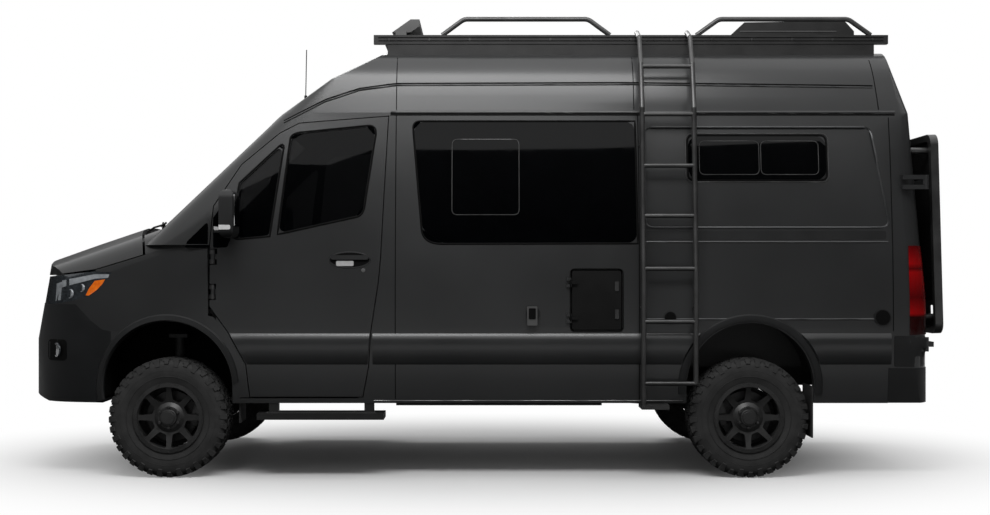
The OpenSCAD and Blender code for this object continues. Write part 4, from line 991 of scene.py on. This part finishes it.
# Seats
def pad(name, centre, size, turn, cap):
    """A stuffed pad: a closed box of small faces, blown up as cloth, its moves capped and then applied."""
    bm = bmesh.new()
    bmesh.ops.create_cube(bm, size=1.0)
    bmesh.ops.subdivide_edges(bm, edges=bm.edges[:], cuts=9, use_grid_fill=True)
    bmesh.ops.scale(bm, vec=size, verts=bm.verts[:])
    mesh = mesh_from(name, bm)
    mesh.shade_smooth()
    mesh.materials.append(CLOTH)
    piece = show(name, mesh)
    scene = bpy.context.scene
    fill = piece.modifiers.new("fill", "CLOTH")
    fill.settings.use_pressure = True
    fill.settings.uniform_pressure_force = 4.0
    fill.settings.effector_weights.gravity = 0.0
    last = 20
    fill.point_cache.frame_start, fill.point_cache.frame_end = 1, last
    for step in range(1, last + 1):
        scene.frame_set(step)
    blown = bpy.data.meshes.new_from_object(piece.evaluated_get(bpy.context.evaluated_depsgraph_get()))
    piece.modifiers.remove(fill)
    for v, to in zip(mesh.vertices, blown.vertices):
        move = to.co - v.co
        v.co = v.co + move * min(1.0, cap / max(move.length, 1e-6))
    bpy.data.meshes.remove(blown)
    scene.frame_set(1)
    piece.modifiers.new("soft", "SUBSURF").render_levels = 1
    piece.matrix_world = Matrix.Translation(Vector(centre)) @ turn.to_4x4()
    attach(piece, "van")
    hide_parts("front_seats")
    return piece


# Pads of a seat: name, centre from the seat's own corner, size, lean in degrees, and how far the filling
# may move it
PADS = [("cushion", (0.222, 0.240, 0.325), (0.410, 0.440, 0.140), 0, 0.016),
        ("back", (0.575, 0.240, 0.690), (0.100, 0.410, 0.610), 12, 0.014),
        ("headrest", (0.654, 0.240, 1.115), (0.075, 0.235, 0.165), 8, 0.012)]


def make_seats():
    """Plain bases with headrest posts, and the pads on them."""
    low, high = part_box("front_seats")
    for side in (LEFT, RIGHT):
        hand = side_name(side)
        y_out = low.y if side == LEFT else high.y
        middle = y_out - side * 0.240
        bm = bmesh.new()
        block(bm, (low.x + 0.250, middle, low.z + 0.105), (0.370, 0.350, 0.208), 0.012)
        block(bm, (low.x + 0.240, middle, low.z + 0.232), (0.430, 0.430, 0.030), 0.010)
        for post in (-0.060, 0.060):
            top = Vector((low.x + 0.642, middle + post, low.z + 1.050))
            tube(bm, [top - Vector((0.012, 0, 0.080)), top], 0.006, 10)
        add(f"seat_base_{hand}", bm, "van", BLACK)
        for name, at, size, lean, cap in PADS:
            centre = (low.x + at[0], y_out - side * at[1], low.z + at[2])
            turn = Matrix.Rotation(radians(lean), 3, "Y")
            pad(f"seat_{name}_{hand}", centre, size, turn, cap)


# Front, roof and rear
# Wipers: pivot and both ends of the blade, each as Y and the height over the foot of the windshield
WIPERS = [((-0.30, 0.010), (-0.80, 0.060), (-0.16, 0.040)), ((0.42, 0.010), (-0.12, 0.045), (0.56, 0.060))]


def make_wipers():
    tree = skin("windshield", "cowl", "cab_frame")
    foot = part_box("windshield")[0].z
    raised = Vector((-0.010, 0, 0.008))

    def on_screen(y, z, lift):
        at, normal = from_front(tree, y, foot + z)
        return at + normal * lift

    bm = bmesh.new()
    for pivot, start, end in WIPERS:
        spots = [[a + (b - a) * k / 14 for a, b in zip(start, end)] for k in range(15)]
        blade = [on_screen(y, z, 0.012) for y, z in spots]
        tube(bm, blade, 0.007, 8)
        tube(bm, [p + raised for p in blade[2:-2]], 0.005, 8)
        base = on_screen(*pivot, 0.016)
        elbow = (base + blade[7]) / 2 + Vector((-0.012, 0, 0.010))
        tube(bm, [base, elbow, blade[7] + raised], 0.007, 8)
        at, normal = from_front(tree, pivot[0], foot + pivot[1])
        disc(bm, at, normal, 0.020, 0.026, 20)
    add("wipers", bm, "van", BLACK)


def make_hood_seal():
    """Rubber seal under the hood's front edge, which closes the gap over the lamps and the grille."""
    tree = skin("grille", "headlamps", "front_bumper")
    path = []
    for k in range(25):
        y = -0.72 + 1.44 * k / 24
        at = from_front(tree, y, 1.215)[0]
        if at:
            path.append(Vector((at.x + 0.045, y, SEAL_Z)))
    bm = bmesh.new()
    tube(bm, path, 0.018, 10)
    add("hood_seal", bm, "van", DARK_SEAM_AND_SHADE)


def make_roof_details():
    """Bolts and slots on the rack's rails, louvres on the air conditioner, an antenna on the cab."""
    low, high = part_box("roof_rack")
    rail_z = high.z - 0.029
    slots, bolts = bmesh.new(), bmesh.new()
    for side, y in ((LEFT, low.y), (RIGHT, high.y)):
        for dz in (-0.009, 0.012):
            ends = [(x, y + side * 0.0005, rail_z + dz) for x in (low.x + 0.03, high.x - 0.03)]
            tube(slots, ends, 0.0028, 6)
        count = 13
        for k in range(count):
            x = low.x + 0.10 + (high.x - low.x - 0.20) * k / (count - 1)
            disc(bolts, (x, y - side * 0.002, rail_z), (0, side, 0), 0.010, 0.006, 6)
    add("rack_slots", slots, "van", DARK_SEAM_AND_SHADE)
    add("rack_bolts", bolts, "van", SATIN)
    low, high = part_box("air_conditioner")
    louvres = bmesh.new()
    for side, y in ((LEFT, low.y), (RIGHT, high.y)):
        for k in range(4):
            z = low.z + (high.z - low.z) * (0.30 + 0.13 * k)
            ends = [(x, y - side * 0.004, z) for x in (low.x + 0.12, high.x - 0.12)]
            tube(louvres, ends, 0.007, 8)
    add("air_conditioner_louvres", louvres, "van", SATIN)
    tree = skin("roof", "cab_frame")
    at = from_above(tree, X_FA + 0.770, -0.20)[0]
    bm = bmesh.new()
    disc(bm, at - Vector((0, 0, 0.010)), (-0.5, -0.1, 1), 0.030, 0.030, 28)
    disc(bm, at + Vector((-0.006, 0, 0.016)), (0, 0, 1), 0.010, 0.040, 16)
    tube(bm, [at + Vector((-0.006, 0, 0.050)), at + Vector((0, 0, 0.370))], 0.0034, 8)
    add("antenna", bm, "van", BLACK)


# Hoops on the rack: front foot, rear foot and run of the slope, X from the front axle
HOOPS = [(1.722, 2.810, 0.141), (3.372, 4.502, 0.145)]


def make_hoops():
    """The rack's hoops with bent corners, in place of the plain ones."""
    low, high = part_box("rack_hoops")
    radius = 0.016
    bm = bmesh.new()
    for y in (low.y + radius, high.y - radius):
        for start, end, run in HOOPS:
            foot, top = low.z + 0.002, high.z - radius
            path = [(start, foot), (start + run, top), (end - run, top), (end, foot)]
            # The two upper corners alone are bent, with nine points each
            inner = rounded(path, 0.075, 8)[9:27]
            bend = [path[0]] + inner + [path[-1]]
            tube(bm, [(X_FA + x, y, z) for x, z in bend], radius, 16)
    hoops = add("rack_hoops_bent", bm, "van", SATIN, sharp=50)
    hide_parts("rack_hoops")


# Degrees by which the rear doors' carriers lean forward
CARRIER_LEAN = 1.6


def make_rear_details():
    """Bolts and backing sheets of the carriers and the studs of the side steps."""
    lean = Matrix.Rotation(radians(-CARRIER_LEAN), 3, "Y")
    for side in (LEFT, RIGHT):
        hand = side_name(side)
        tree = skin(f"carrier_{hand}")
        low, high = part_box(f"carrier_{hand}")
        bm = bmesh.new()
        for u in (0.035, 0.965):
            for w in (0.06, 0.28, 0.50, 0.72, 0.94):
                y = low.y + (high.y - low.y) * u
                at, normal = from_rear(tree, y, low.z + (high.z - low.z) * w)
                if at:
                    disc(bm, at - normal * 0.002, normal, 0.009, 0.007, 6)
        add(f"carrier_bolts_{hand}", bm, f"{hand}_rear_door", STEEL)
        # The sheet lies on the door side of the slotted plate and leaves its lowest row open
        foot = Vector((high.x, (low.y + high.y) / 2, low.z))
        bm = bmesh.new()
        block(bm, foot + lean @ Vector((-0.0313, 0, 0.706)), (0.002, 0.660, 0.980), 0.0008, lean)
        for y in (-0.310, 0, 0.310):
            for z in (0.236, 0.706, 1.176):
                disc(bm, foot + lean @ Vector((-0.0320, y, z)), lean @ Vector((-1, 0, 0)), 0.007, 0.003, 10)
        add(f"carrier_sheet_{hand}", bm, f"{hand}_rear_door", LINER)
    steps = skin("side_steps")
    low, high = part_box("side_steps")
    bm = bmesh.new()
    for side, y_out in ((LEFT, low.y), (RIGHT, high.y)):
        for k in range(46):
            x = low.x + 0.06 + (high.x - low.x - 0.12) * k / 45
            for inward in (0.026, 0.058):
                at, normal = from_above(steps, x, y_out - side * inward)
                if at and normal.z > 0.9:
                    disc(bm, at - Vector((0, 0, 0.001)), (0, 0, 1), 0.0075, 0.005, 8)
    add("step_studs", bm, "van", STEEL)


make_seats()
make_stage()
make_wheels()
for side in (LEFT, RIGHT):
    for build in (mouldings, windows, seams, handles, lamps, sails, mirrors):
        build(side, side_name(side))
left_fittings()
right_fittings()
make_wipers()
make_hood_seal()
make_roof_details()
make_hoops()
make_rear_details()
